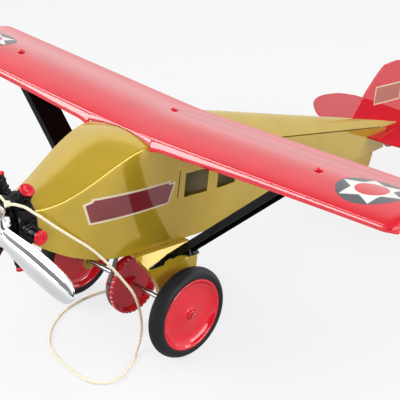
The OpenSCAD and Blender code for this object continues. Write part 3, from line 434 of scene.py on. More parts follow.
CHROME = bare_metal("chrome_plate", (0.86, 0.87, 0.88), (0.80, 0.81, 0.82), 0.05, 700)
STEEL = bare_metal("bright_steel", (0.56, 0.56, 0.55), (0.46, 0.46, 0.46), 0.26, 900, stretch=(0.2, 1, 1))
BRASS = bare_metal("bush_brass", (0.55, 0.40, 0.16), (0.44, 0.31, 0.11), 0.32, 900)
RUBBER = dull("black_rubber", (0.013, 0.015, 0.018), (0.008, 0.009, 0.011), 0.5, 0.25, 1500, 0.0002,
              **{"Specular IOR Level": 0.25})
BELT = dull("grey_belt", (0.16, 0.155, 0.15), (0.10, 0.098, 0.095), 0.6, 0.35, 1800, 0.0003)
COTTON = dull("cotton_cord", (0.98, 0.90, 0.68), (0.88, 0.78, 0.55), 0.85, 0.5, 2600, 0.0003, tone_scale=700,
              **{"Sheen Weight": 0.4})
CREAM = ink("cream_print", (0.74, 0.66, 0.48), (0.64, 0.55, 0.38), 0.35)
WHITE = ink("white_print", (0.78, 0.77, 0.74), (0.68, 0.67, 0.64))
SLATE = ink("slate_print", (0.075, 0.085, 0.10), (0.05, 0.057, 0.07))
SLOT_FINISH = {"olive_enamel": OLIVE, "red_enamel": RED, "black_enamel": BLACK, "bush_brass": BRASS,
               "bright_steel": STEEL}


def finish(obj, *materials):
    obj.data.materials.clear()
    for material in materials:
        obj.data.materials.append(material)


def dress(obj, node, *materials):
    finish(obj, *materials)
    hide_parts(node)


finish(pull_cord, COTTON)
finish(cord_knots, COTTON)
print(len(bpy.data.materials), "materials")

# %% [markdown]
# Sheet metal never has a razor edge. Plates that the CAD draws exactly keep their shape, but a copy with
# bevelled corners and smooth round faces replaces each of them.

# %% softened copies of the plain CAD nodes
SOFT_ANGLE, FLAT_ANGLE, SOFT_WELD_M = radians(32), radians(0.6), 2e-6


def add_bevel(obj, width, angle):
    bevel = obj.modifiers.new("soft edges", "BEVEL")
    bevel.width = width
    bevel.segments = 2
    bevel.limit_method = "ANGLE"
    bevel.angle_limit = angle
    return bevel


def smooth_copy(node):
    mesh = frame["nodes"][node].data.copy()
    mesh.name = node + "_soft"
    bm = bmesh.new()
    bm.from_mesh(mesh)
    bmesh.ops.remove_doubles(bm, verts=bm.verts, dist=SOFT_WELD_M)
    bmesh.ops.dissolve_limit(bm, angle_limit=FLAT_ANGLE, verts=bm.verts, edges=bm.edges)
    for face in bm.faces:
        face.smooth = True
    for edge in bm.edges:
        edge.smooth = len(edge.link_faces) == 2 and edge.calc_face_angle(0) < SOFT_ANGLE
    bm.to_mesh(mesh)
    bm.free()
    return mesh


def soften(node, bevel_mm):
    obj = add_object(node + "_soft", smooth_copy(node))
    obj.matrix_world = frame["nodes"][node].matrix_world.copy()
    bodies, subparts = frame["record"]["behaviour"]["bodies"], frame["record"]["subparts"]
    owner = next(body for body, nodes in bodies.items() if node in nodes)
    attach(obj, owner)
    slot = next(part["material_slot"] for part in subparts if part["node"] == node)
    dress(obj, node, SLOT_FINISH[slot])
    if bevel_mm:
        add_bevel(obj, bevel_mm * MM, SOFT_ANGLE)
    return obj


SOFT = {"belly_pan": 0, "nose_plate": 0.2, "crankcase": 0.8, "rear_bracket": 0.3, "wing_screws": 0.15,
        "left_strut": 0.35, "right_strut": 0.35, "strut_rivets": 0.15, "left_leg": 0.35, "right_leg": 0.35,
        "leg_rivets": 0.15, "axle_bushes": 0.2, "tail_fork": 0.3, "tail_pin": 0.2, "axle": 0.5,
        "drive_pulley": 0, "wheel_spacers": 0.3, "prop_nut": 0.3, "prop_shaft": 0.3, "shaft_pulley": 0.2,
        "front_bush": 0.2, "rear_bush": 0.2}
softened = {node: soften(node, width) for node, width in SOFT.items()}
print(len(softened), "nodes softened")

# %% [markdown]
# The axle's two ends are painted with the wheels, while its middle stays bright steel. A second material on
# the end faces does that without another piece.

# %% painted axle ends
AXLE_PAINT_M = 0.0005
axle_mesh = softened["axle"].data
axle_mesh.materials.append(LIT_WHEEL_RED)
axle_end = max(v.co.x for v in axle_mesh.vertices)
for face in axle_mesh.polygons:
    face.material_index = int(abs(face.center.x) > axle_end - AXLE_PAINT_M)
print("axle half length", round(axle_end, 4), "m")

# %% [markdown]
# The body lines come from the CAD: a plan curve for the width, a fold line along the top of the side panels
# and a keel line below. The same formulas are repeated here, so that the finer skins lie where the solids
# are.

# %% body lines
SHEET, SEAT = 1.2, 0.2
HALF_W, NOSE_HALF, NOSE_Y, BOW_Y, TAPER_Y, TAIL_Y, SPEAR_Y = 40.0, 18.5, -138.0, -20.0, 80.0, 393.0, 417.0
ROOF, ROOF_FRONT, ROOF_REAR, NOSE_DROP, SHOULDER, TAIL_FOLD = 155.5, -26.0, -12.0, 43.0, 140.0, 89.5
KEEL, KEEL_FRONT, KEEL_REAR, KEEL_RISE, TAIL_KEEL = 54.0, -45.0, 45.0, 28.0, 65.0
WING_BASE, DECK_TOP, SPEAR_TOP = 163.1, 161.7, 92.2


def arc_radius(run, rise):
    return (run * run + rise * rise) / (2 * rise)


def arc_rise(r, d):
    return r - sqrt(r * r - d * d)


BOW_R = arc_radius(BOW_Y - NOSE_Y, HALF_W - NOSE_HALF)
KEEL_R = arc_radius(KEEL_FRONT - NOSE_Y, KEEL_RISE)


def between(a, b, t):
    return a + (b - a) * t


def between_points(a, b, t):
    return between(a[0], b[0], t), between(a[1], b[1], t)


def spread(a, b, count):
    return [a + (b - a) * k / count for k in range(count + 1)]


def ease(t):
    t = min(1, max(0, t))
    return t * t * (3 - 2 * t)


def plan_x(y):
    if y < BOW_Y:
        return HALF_W - arc_rise(BOW_R, BOW_Y - y)
    return HALF_W if y < TAPER_Y else HALF_W * (SPEAR_Y - y) / (SPEAR_Y - TAPER_Y)


def fold_z(y):
    if y < ROOF_FRONT:
        return ROOF - NOSE_DROP * (1 - ease((y - NOSE_Y) / (ROOF_FRONT - NOSE_Y)))
    if y < ROOF_REAR:
        return ROOF
    if y < TAPER_Y:
        return between(ROOF, SHOULDER, (y - ROOF_REAR) / (TAPER_Y - ROOF_REAR))
    return between(SHOULDER, TAIL_FOLD, (y - TAPER_Y) / (TAIL_Y - TAPER_Y))


def keel_z(y):
    if y < KEEL_FRONT:
        return KEEL + arc_rise(KEEL_R, KEEL_FRONT - y)
    return KEEL if y < KEEL_REAR else between(KEEL, TAIL_KEEL, (y - KEEL_REAR) / (TAIL_Y - KEEL_REAR))


def ridge_z(y):
    return DECK_TOP if y < TAPER_Y else between(DECK_TOP, SPEAR_TOP, (y - TAPER_Y) / (SPEAR_Y - TAPER_Y))


print("nose half width", round(plan_x(NOSE_Y), 1))

# %% [markdown]
# A pressing is drawn as one surface. Solidify then gives it thickness, inward, so that the outside stays
# where it was drawn, and a fine bevel rounds the cut edges, so that they don't shade as if they were
# folded.

# %% sheet from a surface
EDGE_ROUND_M, EDGE_ANGLE = 0.0002, radians(50)


def add_sheet(obj, thickness, offset):
    solid = obj.modifiers.new("sheet", "SOLIDIFY")
    solid.thickness = thickness
    solid.offset = offset
    return solid


def skin_over(node, skin, out, *materials):
    dress(skin, node, *materials)
    face_out(skin, out)
    solid = add_sheet(skin, SHEET * MM, -1)
    solid.use_even_offset = True
    solid.material_offset = len(materials) - 1
    add_bevel(skin, EDGE_ROUND_M, EDGE_ANGLE).harden_normals = True


def stations(first, *stretches):
    line = [first]
    for end, count in stretches:
        line += spread(line[-1], end, count)[1:]
    return line


def flat_list(rows):
    return [v for row in rows for v in row]


print("sheet", SHEET, "mm")

# %% [markdown]
# Each side panel is a flat blank bent round the nose, with two cabin windows punched through. A grid whose
# lines fall on the window edges can leave those faces out, so no cutting is needed. A low crease turns the
# front corner in towards the nose plate.

# %% side panels
WINDOWS = ((23.5, 54.5), (68.0, 95.0))
SILL, HEAD, SILL_SHARE, HEAD_SHARE = 96.5, 120.5, 0.419, 0.655
TUCK, TUCK_Y, TUCK_RUN = 3.5, -14.0, 4.0
LEVEL_FROM, LEVEL_RUN, LEVEL_TO, LEVEL_OUT = BOW_Y, 40.0, 150.0, 50.0
CREASE_Y, CREASE_Z, CREASE_LEAN, CREASE_TOP, CREASE_DEPTH = -124.0, 107.0, 11 / 34, 112.0, 0.16


def panel_levels(y):
    low, high = keel_z(y), fold_z(y) - TUCK * ease((TUCK_Y - y) / TUCK_RUN)
    near = ease(min((y - LEVEL_FROM) / LEVEL_RUN, (LEVEL_TO - y) / LEVEL_OUT))
    sill = between(between(low, high, SILL_SHARE), SILL, near)
    head = between(between(low, high, HEAD_SHARE), HEAD, near)
    return stations(low, (sill, 8), (head, 5), (high, 6))


def crease_in(y, z):
    ahead = CREASE_Y + (CREASE_Z - z) * CREASE_LEAN - y
    return CREASE_DEPTH * max(0, ahead) ** 1.05 if z < CREASE_TOP else 0


def side_panel(name, side):
    (a, b), (c, d) = WINDOWS
    ys = stations(NOSE_Y, (BOW_Y, 40), (a, 8), (b, 6), (c, 3), (TAPER_Y, 3), (d, 3), (TAIL_Y, 40))
    rows = [[(side * (plan_x(y) - crease_in(y, z)), y, z) for z in panel_levels(y)] for y in ys]
    verts, faces = flat_list(rows), []
    for face in grid_faces(len(rows), len(rows[0])):
        y, z = (sum(verts[k][axis] for k in face) / 4 for axis in (1, 2))
        if not (SILL < z < HEAD and any(start < y < end for start, end in WINDOWS)):
            faces.append(face)
    return piece(name, verts, faces, "olive_enamel")


SIDES = ((1, "left"), (-1, "right"))
for side, word in SIDES:
    skin = side_panel(word + "_side_panel_skin", side)
    skin_over(word + "_side_panel", skin, (side, 0, 0), OLIVE, INSIDE_LIGHTENED)
print("side panels bent")

# %% [markdown]
# The hood is one domed sheet over the nose. Its sides turn down over the panels, and that soft fold catches
# a long thin highlight. A sharp corner would lose it, so the fold is drawn as a small round.

# %% hood sections
CROWN, CROWN_SWELL, CROWN_Y, CROWN_POWER = 4.8, 3.2, -30.0, 1.8
FOLD_DOWN, FOLD_IN, FOLD_UP, FLANGE = 2.6, 3.4, 0.5, 7.0
HOOD_BEND_Y, HOOD_REAR = -46.0, -16.0
UP = (0, 0, 1)


def rounded(corner, before, after, count):
    a, b, c = Vector(before), Vector(corner), Vector(after)
    return [((1 - t) ** 2 * a + 2 * t * (1 - t) * b + t * t * c) for t in spread(0, 1, count)]


def both_sides(row):
    return row + [(-x, y, z) for x, y, z in reversed(row[:-1])]


def hood_half(y):
    return plan_x(y) + SHEET + SEAT


def hood_top(y, x):
    crown = CROWN + CROWN_SWELL * sin(pi * max(0, (CROWN_Y - y) / (CROWN_Y - NOSE_Y)))
    return fold_z(y) + crown * (1 - min(1, abs(x) / hood_half(y)) ** CROWN_POWER) + SHEET + SEAT


def hood_row(y):
    half = hood_half(y)
    edge, inner = hood_top(y, half), half - FOLD_IN
    flange = [(half, y, z) for z in spread(fold_z(y) - FLANGE, edge - FOLD_DOWN, 2)]
    crest = [(x, y, hood_top(y, x)) for x in spread(inner, 0, 14)]
    bend = rounded((half, y, edge + FOLD_UP), flange[-1], crest[0], 12)
    return both_sides(flange + [tuple(v) for v in bend[1:]] + crest[1:])


def pressing(name, rows, slot):
    return piece(name, flat_list(rows), grid_faces(len(rows), len(rows[0])), slot)


hood_ys = stations(NOSE_Y, (HOOD_BEND_Y, 36), (HOOD_REAR, 8))
hood = pressing("hood_skin", [hood_row(y) for y in hood_ys], "olive_enamel")
skin_over("hood", hood, UP, OLIVE, INSIDE_LIGHTENED)
print("hood pressed,", len(hood.data.polygons), "faces")

# %% [markdown]
# Behind the wing a long deck closes the body. It is arched across and runs out to a point under the fin, so
# each row is the same curve, made narrower and lower towards the tail.

# %% turtle deck
DECK_FRONT, DECK_REAR, SPEAR_HALF, SPEAR_FALL, DECK_POWER = -15.0, 414.0, 0.8, 0.05, 1.5


def deck_row(y):
    fold = (fold_z(y) if y < TAIL_Y else TAIL_FOLD - (y - TAIL_Y) * SPEAR_FALL) + SHEET + SEAT
    half, rise = max(plan_x(y), SPEAR_HALF), ridge_z(y) - fold
    return both_sides([(half * f, y, fold + rise * (1 - f ** DECK_POWER)) for f in spread(1, 0, 14)])


deck_ys = stations(DECK_FRONT, (TAPER_Y, 16), (TAIL_Y, 60), (DECK_REAR, 8))
deck = pressing("aft_deck_skin", [deck_row(y) for y in deck_ys], "olive_enamel")
skin_over("aft_deck", deck, UP, OLIVE, INSIDE_LIGHTENED)
print("deck pressed,", len(deck.data.polygons), "faces")

# %% [markdown]
# The wing is the biggest pressing: a shallow camber, a front edge turned down, an arch cut over the roof
# and soft tip corners. Each half rises a little towards its tip. The camber is a formula, so that the
# prints laid on the wing later can ask it for their height.

# %% wing surface
HALF_SPAN, TIP_R, TIP_FALL, TIP_BEND, TIP_FLAT = 303.7, 10.0, 2.6, 4.5, 0.45
WING_REAR, FOLD_Y, WING_SINK, ROOT_ROUND = 77.0, -24.0, 0.4, 14.0
DIHEDRAL = tan(radians(2))
CAMBER, CAMBER_LEAD = 6.4, 6.9


def tip_inset(x):
    d = abs(x) - HALF_SPAN + TIP_R
    return 0 if d < 0 else arc_rise(TIP_R, min(d, TIP_R))


def wing_z(x):
    return WING_BASE + hypot(x, ROOT_ROUND) * DIHEDRAL - WING_SINK


def tip_fall(x):
    return TIP_FALL * max(0, (abs(x) - HALF_SPAN + TIP_BEND) / TIP_BEND) ** 2


def camber_z(u, x):
    tip = 1 - TIP_FLAT * tip_inset(x) / TIP_R
    return CAMBER * u * (1 - u) * (1 + CAMBER_LEAD * (1 - u)) * tip - tip_fall(x)


def chord_ends(x):
    return FOLD_Y + tip_inset(x), WING_REAR - tip_inset(x)


def wing_y(u, x):
    return between(*chord_ends(x), u)


def wing_top(x, y):
    front, rear = chord_ends(x)
    return wing_z(x) + camber_z((y - front) / (rear - front), x)


print("wing rises", round(wing_z(HALF_SPAN) - wing_z(0), 1), "mm to the tip")

# %% [markdown]
# The front lip catches the light: a round fold, a short shelf and a sloping face that turns steep at the
# bottom. The face is broad at the root and narrow further out, so two outlines are blended along the span.
# Over the hood the lip is cut short, which makes the arch.

# %% wing lip and sections
LIP_DEPTH, LIP_TIP, LIP_TAPER, LIP_Y, LIP_GAP = 10.2, 5.0, 1.6, -28.0, 0.5
ARCH_HALF, ARCH_SEAM, ARCH_BULGE, BULGE_RUN = 43.0, 0.1, 1.6, 14.0
BLEND_FROM, BLEND_RUN, TIP_LIP_FALL = 80.0, 90.0, 0.6
FOLD = [(0.3, 0.25), (0.55, 0.65), (0.75, 1.05), (1.1, 1.3), (1.7, 1.42), (2.3, 1.55), (2.8, 1.9)]
ROOT_FACE = [(3.3, 2.6), (4.0, 3.7), (4.7, 4.9), (5.3, 6.0), (5.7, 7.0), (6.0, 8.4), (6.2, 10.2)]
TIP_FACE = [(3.2, 2.4), (3.7, 3.2), (4.2, 4.0), (4.5, 4.8), (4.7, 6.0), (4.85, 8.0), (5.0, 10.2)]


def hood_cover(y, x):
    half = hood_half(y)
    edge = half - abs(x)
    if edge > FOLD_IN:
        return hood_top(y, x)
    t = sqrt(max(0, edge) / FOLD_IN)
    edge_top = hood_top(y, half)
    low, corner, high = edge_top - FOLD_DOWN, edge_top + FOLD_UP, hood_top(y, half - FOLD_IN)
    return (1 - t) ** 2 * low + 2 * t * (1 - t) * corner + t * t * high


def lip_drop(x):
    full = between(LIP_TIP, LIP_DEPTH, (1 - abs(x) / HALF_SPAN) ** LIP_TAPER)
    full += ARCH_BULGE * max(0, 1 - abs(abs(x) - ARCH_HALF) / BULGE_RUN) ** 2
    if abs(x) < ARCH_HALF - ARCH_SEAM:
        return min(full, wing_z(x) - hood_cover(LIP_Y, x) - LIP_GAP)
    return full


def lip_points(x):
    t = ease((abs(x) - BLEND_FROM) / BLEND_RUN)
    return FOLD + [between_points(a, b, t) for a, b in zip(ROOT_FACE, TIP_FACE)]


def wing_row(x):
    size = lip_drop(x) / LIP_DEPTH
    front_y, front_z = wing_y(0, x), wing_z(x) - tip_fall(x) * TIP_LIP_FALL
    section = [(x, wing_y(u, x), wing_z(x) + camber_z(u, x)) for u in spread(1, 0.02, 40)]
    lip = [(x, front_y - out * min(1, size), front_z - down * size) for out, down in lip_points(x)]
    return section + [(x, front_y, front_z)] + lip


half_xs = [*spread(0, 34, 12), 35.5, *range(37, 44), 44.5, *range(46, 53, 2), *spread(56, 293, 40)]
half_xs += [HALF_SPAN - TIP_R + TIP_R * sin(radians(a)) for a in range(9, 91, 9)]
wing_xs = [-x for x in reversed(half_xs)] + half_xs[1:]
wing = pressing("wing_skin", [wing_row(x) for x in wing_xs], "red_enamel")
skin_over("wing", wing, UP, RED)
print("wing pressed,", len(wing.data.polygons), "faces")

# %% [markdown]
# A printed roundel sits near each wing tip: a slate disc, a white six-pointed star and a red centre. Each
# layer is a thin sheet on the wing's own surface, a few hundredths of a millimetre above the one below.

# %% roundels
ROUNDEL_X, ROUNDEL_Y, ROUNDEL_R, PRINT_LIFT = 252.0, 14.5, 29.5, 0.06
STAR_OUT, STAR_IN, STAR_POINTS, CENTRE_R = ROUNDEL_R * 0.97, ROUNDEL_R * 0.58, 6, ROUNDEL_R * 0.485


def thin_print(name, verts, faces, slot, out, material, smooth=True):
    obj = piece(name, verts, faces, slot, smooth=smooth)
    face_out(obj, out)
    finish(obj, material)


def laid_on_wing(name, centre, reach, lift, material, rings=14, around=72):
    verts = []
    for j in range(rings + 1):
        for a in circle_angles(around):
            r = reach(a) * j / rings
            x, y = centre[0] + r * cos(a), centre[1] + r * sin(a)
            verts.append((x, y, wing_top(x, y) + lift))
    thin_print(name, verts, grid_faces(rings + 1, around, closed_cols=True), "red_enamel", UP, material)


def star(a):
    k = a * STAR_POINTS / (2 * pi)
    q = pi / STAR_POINTS
    p = q * (abs(k - round(k)) * 2)
    return STAR_OUT * STAR_IN * sin(q) / (STAR_OUT * sin(p) + STAR_IN * sin(q - p))


for side, word in SIDES:
    centre = (side * ROUNDEL_X, ROUNDEL_Y)
    laid_on_wing("roundel_disc_" + word, centre, lambda a: ROUNDEL_R, PRINT_LIFT, SLATE)
    laid_on_wing("roundel_star_" + word, centre, star, PRINT_LIFT * 2, WHITE, 10, 144)
    laid_on_wing("roundel_centre_" + word, centre, lambda a: CENTRE_R, PRINT_LIFT * 3, RED, 8)
print("roundels laid")

# %% [markdown]
# The fin with its rudder and the tailplane are flat blanks with a rolled edge. The blank is a filled
# outline given thickness, and the roll is a round bead swept along the same outline.

# %% fin and tailplane
ROLL_R, ROLL_STEP = 1.0, 1.5
FIN_FRONT, FIN_REAR, FIN_ROOT, STAB_Z = 327.0, 395.5, 7.0, 86.1
FIN_CURVE = [(FIN_FRONT, ridge_z(FIN_FRONT) + 1), (346, 138), (370, 162.5), (385, 167.5), (402, 168),
             (424, 163), (443, 150), (453, 130), (455, 108), (449, 86), (436, 70), (419, 62), (405.5, 62),
             (397.5, 67), (FIN_REAR, 76)]
STAB_CURVE = [(0, 350), (40, 354), (74, 364), (99, 385), (116, 407), (123, 432), (118, 456), (105, 466),
              (88, 470), (0, 470)]


def flat_curve(points):
    return [(p.x, p.y) for p in smooth_line([(*p, 0) for p in points], 8)]


def inset(outline, mm, closed=False):
    line = []
    for k, p in enumerate(outline):
        a = outline[k - 1] if k or closed else p
        b = outline[(k + 1) % len(outline)] if closed or k + 1 < len(outline) else p
        way = Vector((b[0] - a[0], b[1] - a[1])).normalized()
        line.append((p[0] + way.y * mm, p[1] - way.x * mm))
    return line


def blank(name, node, outline, to_3d, bead, material):
    verts = [to_3d(p) for p in outline]
    obj = piece(name, verts, [tuple(range(len(verts)))], "red_enamel", smooth=False)
    add_sheet(obj, SHEET * MM, 0)
    dress(obj, node, material)
    bead_line = even_line([Vector(to_3d(p)) for p in bead], ROLL_STEP)
    verts, faces = sweep(bead_line, round_outline(ROLL_R, 10))
    finish(piece(name + "_roll", verts, faces, "red_enamel"), material)


edge = inset(flat_curve(FIN_CURVE), ROLL_R)
fin_outline = edge + [(y, ridge_z(y) - FIN_ROOT) for y in (FIN_REAR, FIN_FRONT)]
blank("fin_blank", "fin", fin_outline, lambda p: (0, p[0], p[1]), edge, RED)
half = flat_curve(STAB_CURVE)
edge = inset(half + [(-x, y) for x, y in reversed(half[1:-1])], -ROLL_R, closed=True)
blank("tailplane_blank", "tailplane", edge, lambda p: (p[0], p[1], STAB_Z), edge + edge[:1], DULL_RED)
print("tail surfaces cut")

# %% [markdown]
# Turned and pressed round pieces are all lathe work: one half outline spun about an axis. Its corners are
# rounded before it is spun, as they would be by a tool or a die.

# %% lathe
def lathe(outline, origin, axis, segments):
    axis = Vector(axis).normalized()
    side = axis.orthogonal().normalized()
    other = axis.cross(side)
    verts = []
    for a in circle_angles(segments):
        spoke = cos(a) * side + sin(a) * other
        verts.extend(Vector(origin) + axis * h + spoke * r for h, r in outline)
    return verts, grid_faces(segments, len(outline), closed_rows=True)


def soft_outline(points, reach, count=4):
    points = [Vector((*p, 0)) for p in points]
    line = [points[0]]
    for a, b, c in zip(points, points[1:], points[2:]):
        before = b + (a - b).normalized() * min(reach, (a - b).length * 0.45)
        after = b + (c - b).normalized() * min(reach, (c - b).length * 0.45)
        line.extend(rounded(b, before, after, count))
    line.append(points[-1])
    return [(p.x, p.y) for p in line]


def both_faces(outline):
    return outline + [(-h, r) for h, r in reversed(outline)]


def spun(name, node, body, slot, material, *turning):
    dress(piece(name, *lathe(*turning), slot, body), node, material)


print("lathe ready")

# %% [markdown]
# Each main wheel is a dished disc of thin steel with a fat rubber tyre. The tyre's tread has six fine
# grooves, which are a wave in its outline. The disc sinks from its rim to a small raised hub.

# %% main wheels
WHEEL_X, WHEEL_STEPS, ACROSS = 78.5, 128, (1, 0, 0)
BULGE_R, BULGE_CENTRE, BULGE_ANGLE = 9.7, 35.3, 61
GROOVES, GROOVE_DEPTH, GROOVE_ANGLE = 6, 0.32, 0.52
WALL_BEND, WALL_FOOT, TYRE_BEAD = (8.5, 38.0, 0), (8.0, 36.3, 0), [(7.2, 35.6), (6.0, 35.4)]
DISC = [(8.2, 2.6), (8.2, 3.5), (7.2, 4.3), (5.4, 4.9), (4.4, 7.0), (3.3, 12.0), (2.6, 18.0), (2.3, 23.0),
        (2.8, 27.0), (4.0, 30.0), (5.8, 32.2), (7.6, 33.4), (8.1, 34.3), (8.1, 35.0), (7.2, 35.9)]


def tyre_outline():
    tread = []
    for k in range(141):
        a = radians(BULGE_ANGLE * (k / 70 - 1))
        h, r = BULGE_R * sin(a), BULGE_CENTRE + BULGE_R * cos(a)
        share = min(0.999, max(0, (a + GROOVE_ANGLE) / (2 * GROOVE_ANGLE)))
        groove = 0.5 - 0.5 * cos(2 * pi * share * GROOVES)
        tread.append((h, r - GROOVE_DEPTH * groove if abs(a) < GROOVE_ANGLE else r))
    wall = [(p.x, p.y) for p in rounded(WALL_BEND, (*tread[-1], 0), WALL_FOOT, 5)][1:] + TYRE_BEAD
    return [(-h, r) for h, r in reversed(wall)] + tread + wall


for side, word in SIDES:
    hub = (side * WHEEL_X, 0, 0)
    spun(word + "_tyre_rubber", word + "_tyre", "wheel_set", "black_rubber", RUBBER,
         tyre_outline(), hub, ACROSS, WHEEL_STEPS)
    spun(word + "_wheel_disc", word + "_wheel", "wheel_set", "red_enamel", LIT_WHEEL_RED,
         both_faces(soft_outline(DISC, 0.9)), hub, ACROSS, WHEEL_STEPS)
print("wheels spun")

# %% [markdown]
# Six black barrels stand round the crankcase like the cylinders of a radial engine, each with cooling ribs
# and a red cap. One outline is spun about each barrel's own axis, so the six are alike.

# %% engine barrels and caps
ENGINE_Y, BARRELS, BARREL_STEPS = -148.5, 6, 40
BARREL = [(22.8, 8.0), (27.0, 8.0), (27.4, 6.9), (28.6, 6.9), (29.0, 7.7), (30.6, 7.7), (31.0, 6.6),
          (35.0, 6.3), (35.4, 6.7), (37.2, 6.7), (37.6, 6.1), (40.0, 6.0)]
CAP = [(40.0, 0.0), (40.0, 5.9), (40.9, 6.7), (42.6, 6.75), (43.6, 5.6), (44.0, 4.4), (43.7, 2.6),
       (43.2, 1.7), (42.4, 1.5), (42.4, 0.0)]


def round_engine(outline):
    parts = []
    for k in range(BARRELS):
        a = 2 * pi * (k + 0.5) / BARRELS
        parts.append(lathe(outline, (0, ENGINE_Y, THRUST_Z), (sin(a), 0, cos(a)), BARREL_STEPS))
    return join_parts(parts)


barrels = piece("engine_barrels_turned", *round_engine(soft_outline(BARREL, 0.4)), "black_enamel")
dress(barrels, "engine_barrels", BLACK)
caps = piece("barrel_caps_turned", *round_engine(soft_outline(CAP, 0.5)), "red_enamel")
dress(caps, "barrel_caps", DULL_RED)
print("six barrels turned")

# %% [markdown]
# The tail wheel is a small copy of the same idea, with a rounded solid tyre. Its height follows from its
# radius, because it stands on the same floor as the main wheels.

# %% tail wheel
TAIL_R, TAIL_WHEEL_Y, TAIL_STEPS = 17.0, 350.0, 72
TAIL_TYRE_HALF, TAIL_TYRE_IN, TAIL_TYRE_DEEP = 4.5, 12.1, 4.9
TAIL_DISC = [(4.5, 1.6), (4.5, 3.6), (2.2, 5.4), (2.0, 9.0), (3.4, 11.2), (3.6, 12.2)]
tail_z = (TAIL_R - TYRE_R + TAIL_WHEEL_Y * sin(NOSE_UP)) / cos(NOSE_UP)
tail_hub = (0, TAIL_WHEEL_Y, tail_z)


def tail_tyre_point(a):
    across = TAIL_TYRE_HALF * copysign(abs(sin(a)) ** 0.8, a)
    return across, TAIL_TYRE_IN + TAIL_TYRE_DEEP * max(0, cos(a) * 0.5 + 0.5) ** 0.6


outline = [tail_tyre_point(radians(a)) for a in range(-120, 121, 4)]
spun("tail_tyre_rubber", "tail_tyre", "tail_wheel_set", "black_rubber", RUBBER,
     outline, tail_hub, ACROSS, TAIL_STEPS)
spun("tail_wheel_disc", "tail_wheel", "tail_wheel_set", "red_enamel", RED,
     both_faces(soft_outline(TAIL_DISC, 0.5)), tail_hub, ACROSS, TAIL_STEPS)
print("tail wheel at", round(tail_z, 2), "mm")

# %% [markdown]
# The propeller is pressed from one plated sheet: two broad blades with a slight pitch, each with a raised
# step along it, and a deep round boss whose skirt covers the cord's loop. Chrome shows every bump, so the
# blade is a fine grid and the step is part of its height.

# %% propeller blades
PROP_Y, PROP_R, PROP_TURN, BLADE_ROOT = -168.5, 112.0, 12.0, 10.0
ROOT_CHORD, CHORD_GAIN, ROOT_PITCH, PITCH_LOSS = 17.0, 9.0, 9.0, 4.0
BLADE_RIB, BLADE_BOW, BLADE_RAISE, BLADE_SHEET_M = 4.2, 1.2, 1.0, 0.0014
RIB_FRONT, RIB_RISE, RIB_TOP, RIB_FALL = -0.56, 0.26, -0.3, 1.3
BLADE_ROWS, BLADE_COLS = 60, 40


def blade_rib(t, c):
    across = ease((c - RIB_FRONT) / RIB_RISE) * (1 - ease((c - RIB_TOP) / RIB_FALL))
    return BLADE_RIB * across * ease(t * 6) * (1 - t ** 14)


def blade_point(t, c, turn):
    x = between(BLADE_ROOT, PROP_R, t)
    u = (ROOT_CHORD + CHORD_GAIN * ease(t / 0.55)) * max(0, 1 - t ** 12) ** 0.5 / 2 * c
    pitch = radians(ROOT_PITCH - PITCH_LOSS * t)
    depth = -(1 - c * c) * BLADE_BOW - blade_rib(t, c)
    y = -u * sin(pitch) + depth * cos(pitch)
    z = BLADE_RAISE - u * cos(pitch) - depth * sin(pitch)
    a = radians(PROP_TURN + turn)
    return (x * cos(a) + z * sin(a), PROP_Y + y, THRUST_Z - x * sin(a) + z * cos(a))


blade_ts = [1 - (1 - k / BLADE_ROWS) ** 1.5 for k in range(BLADE_ROWS + 1)]
blade_parts = []
for turn in (0, 180):
    rows = [[blade_point(t, c, turn) for c in spread(-1, 1, BLADE_COLS)] for t in blade_ts]
    blade_parts.append((flat_list(rows), grid_faces(BLADE_ROWS + 1, BLADE_COLS + 1)))
blades = piece("propeller_blades", *join_parts(blade_parts), "chrome_plate", "propeller_set")
add_sheet(blades, BLADE_SHEET_M, 0)
finish(blades, CHROME)
print("blades pressed")

# %% propeller boss
BOSS_R, BOSS_DOME, BOSS_STEPS = 19.0, 5.0, 96
BOSS_CUP = [(7.1, 2.7), (7.1, 7.6), (6.6, 8), (3.6, 8.2), (3.2, 9), (3.0, 16), (3.4, 17.8), (5, 18.3),
            (11.9, 18.4), (12.2, 18.7), (11.9, BOSS_R), (4, BOSS_R), (1.5, 18.95)]
dome = [(-BOSS_DOME * (1 - (r / BOSS_R) ** 2) ** 0.55, r) for r in spread(18.8, 7.2, 14)]
boss_outline = BOSS_CUP + dome + [(-4.95, 6.6), (-4.95, 2.7)]
spun("propeller_boss", "propeller", "propeller_set", "chrome_plate", CHROME,
     boss_outline, (0, PROP_Y, THRUST_Z), (0, 1, 0), BOSS_STEPS)
print("boss pressed")

# %% [markdown]
# A round rubber belt runs from the wheel axle up to the propeller shaft. The two pulleys stand at right
# angles, so each run crosses over a quarter of a turn. Its line wraps one pulley, climbs, wraps the other
# and comes back down.

# %% drive belt
BELT_R, BELT_EASE, LOW_R, TOP_R, SHAFT_PULLEY_Y = 2.25, 0.05, 26.85, 10.85, -14.0
lean = atan2(THRUST_Z, SHAFT_PULLEY_Y)
opening = acos(LOW_R / hypot(THRUST_Z, SHAFT_PULLEY_Y))
low_angles = spread(lean + opening, lean - opening + 2 * pi, 48)
low = [Vector((0, LOW_R * cos(a), LOW_R * sin(a))) for a in low_angles]
top = [Vector((-TOP_R * cos(a), SHAFT_PULLEY_Y, THRUST_Z + TOP_R * sin(a))) for a in spread(0, pi, 28)]
RUN_SHARES = spread(0.03, 0.97, 20)
run_up = [low[-1].lerp(top[0], t) for t in RUN_SHARES]
run_down = [top[-1].lerp(low[0], t) for t in RUN_SHARES]
verts, faces = sweep(low + run_up + top + run_down, round_outline(BELT_R - BELT_EASE, 14), closed=True)
dress(piece("belt_round", verts, faces, "grey_belt"), "belt", BELT)
print("belt threaded")
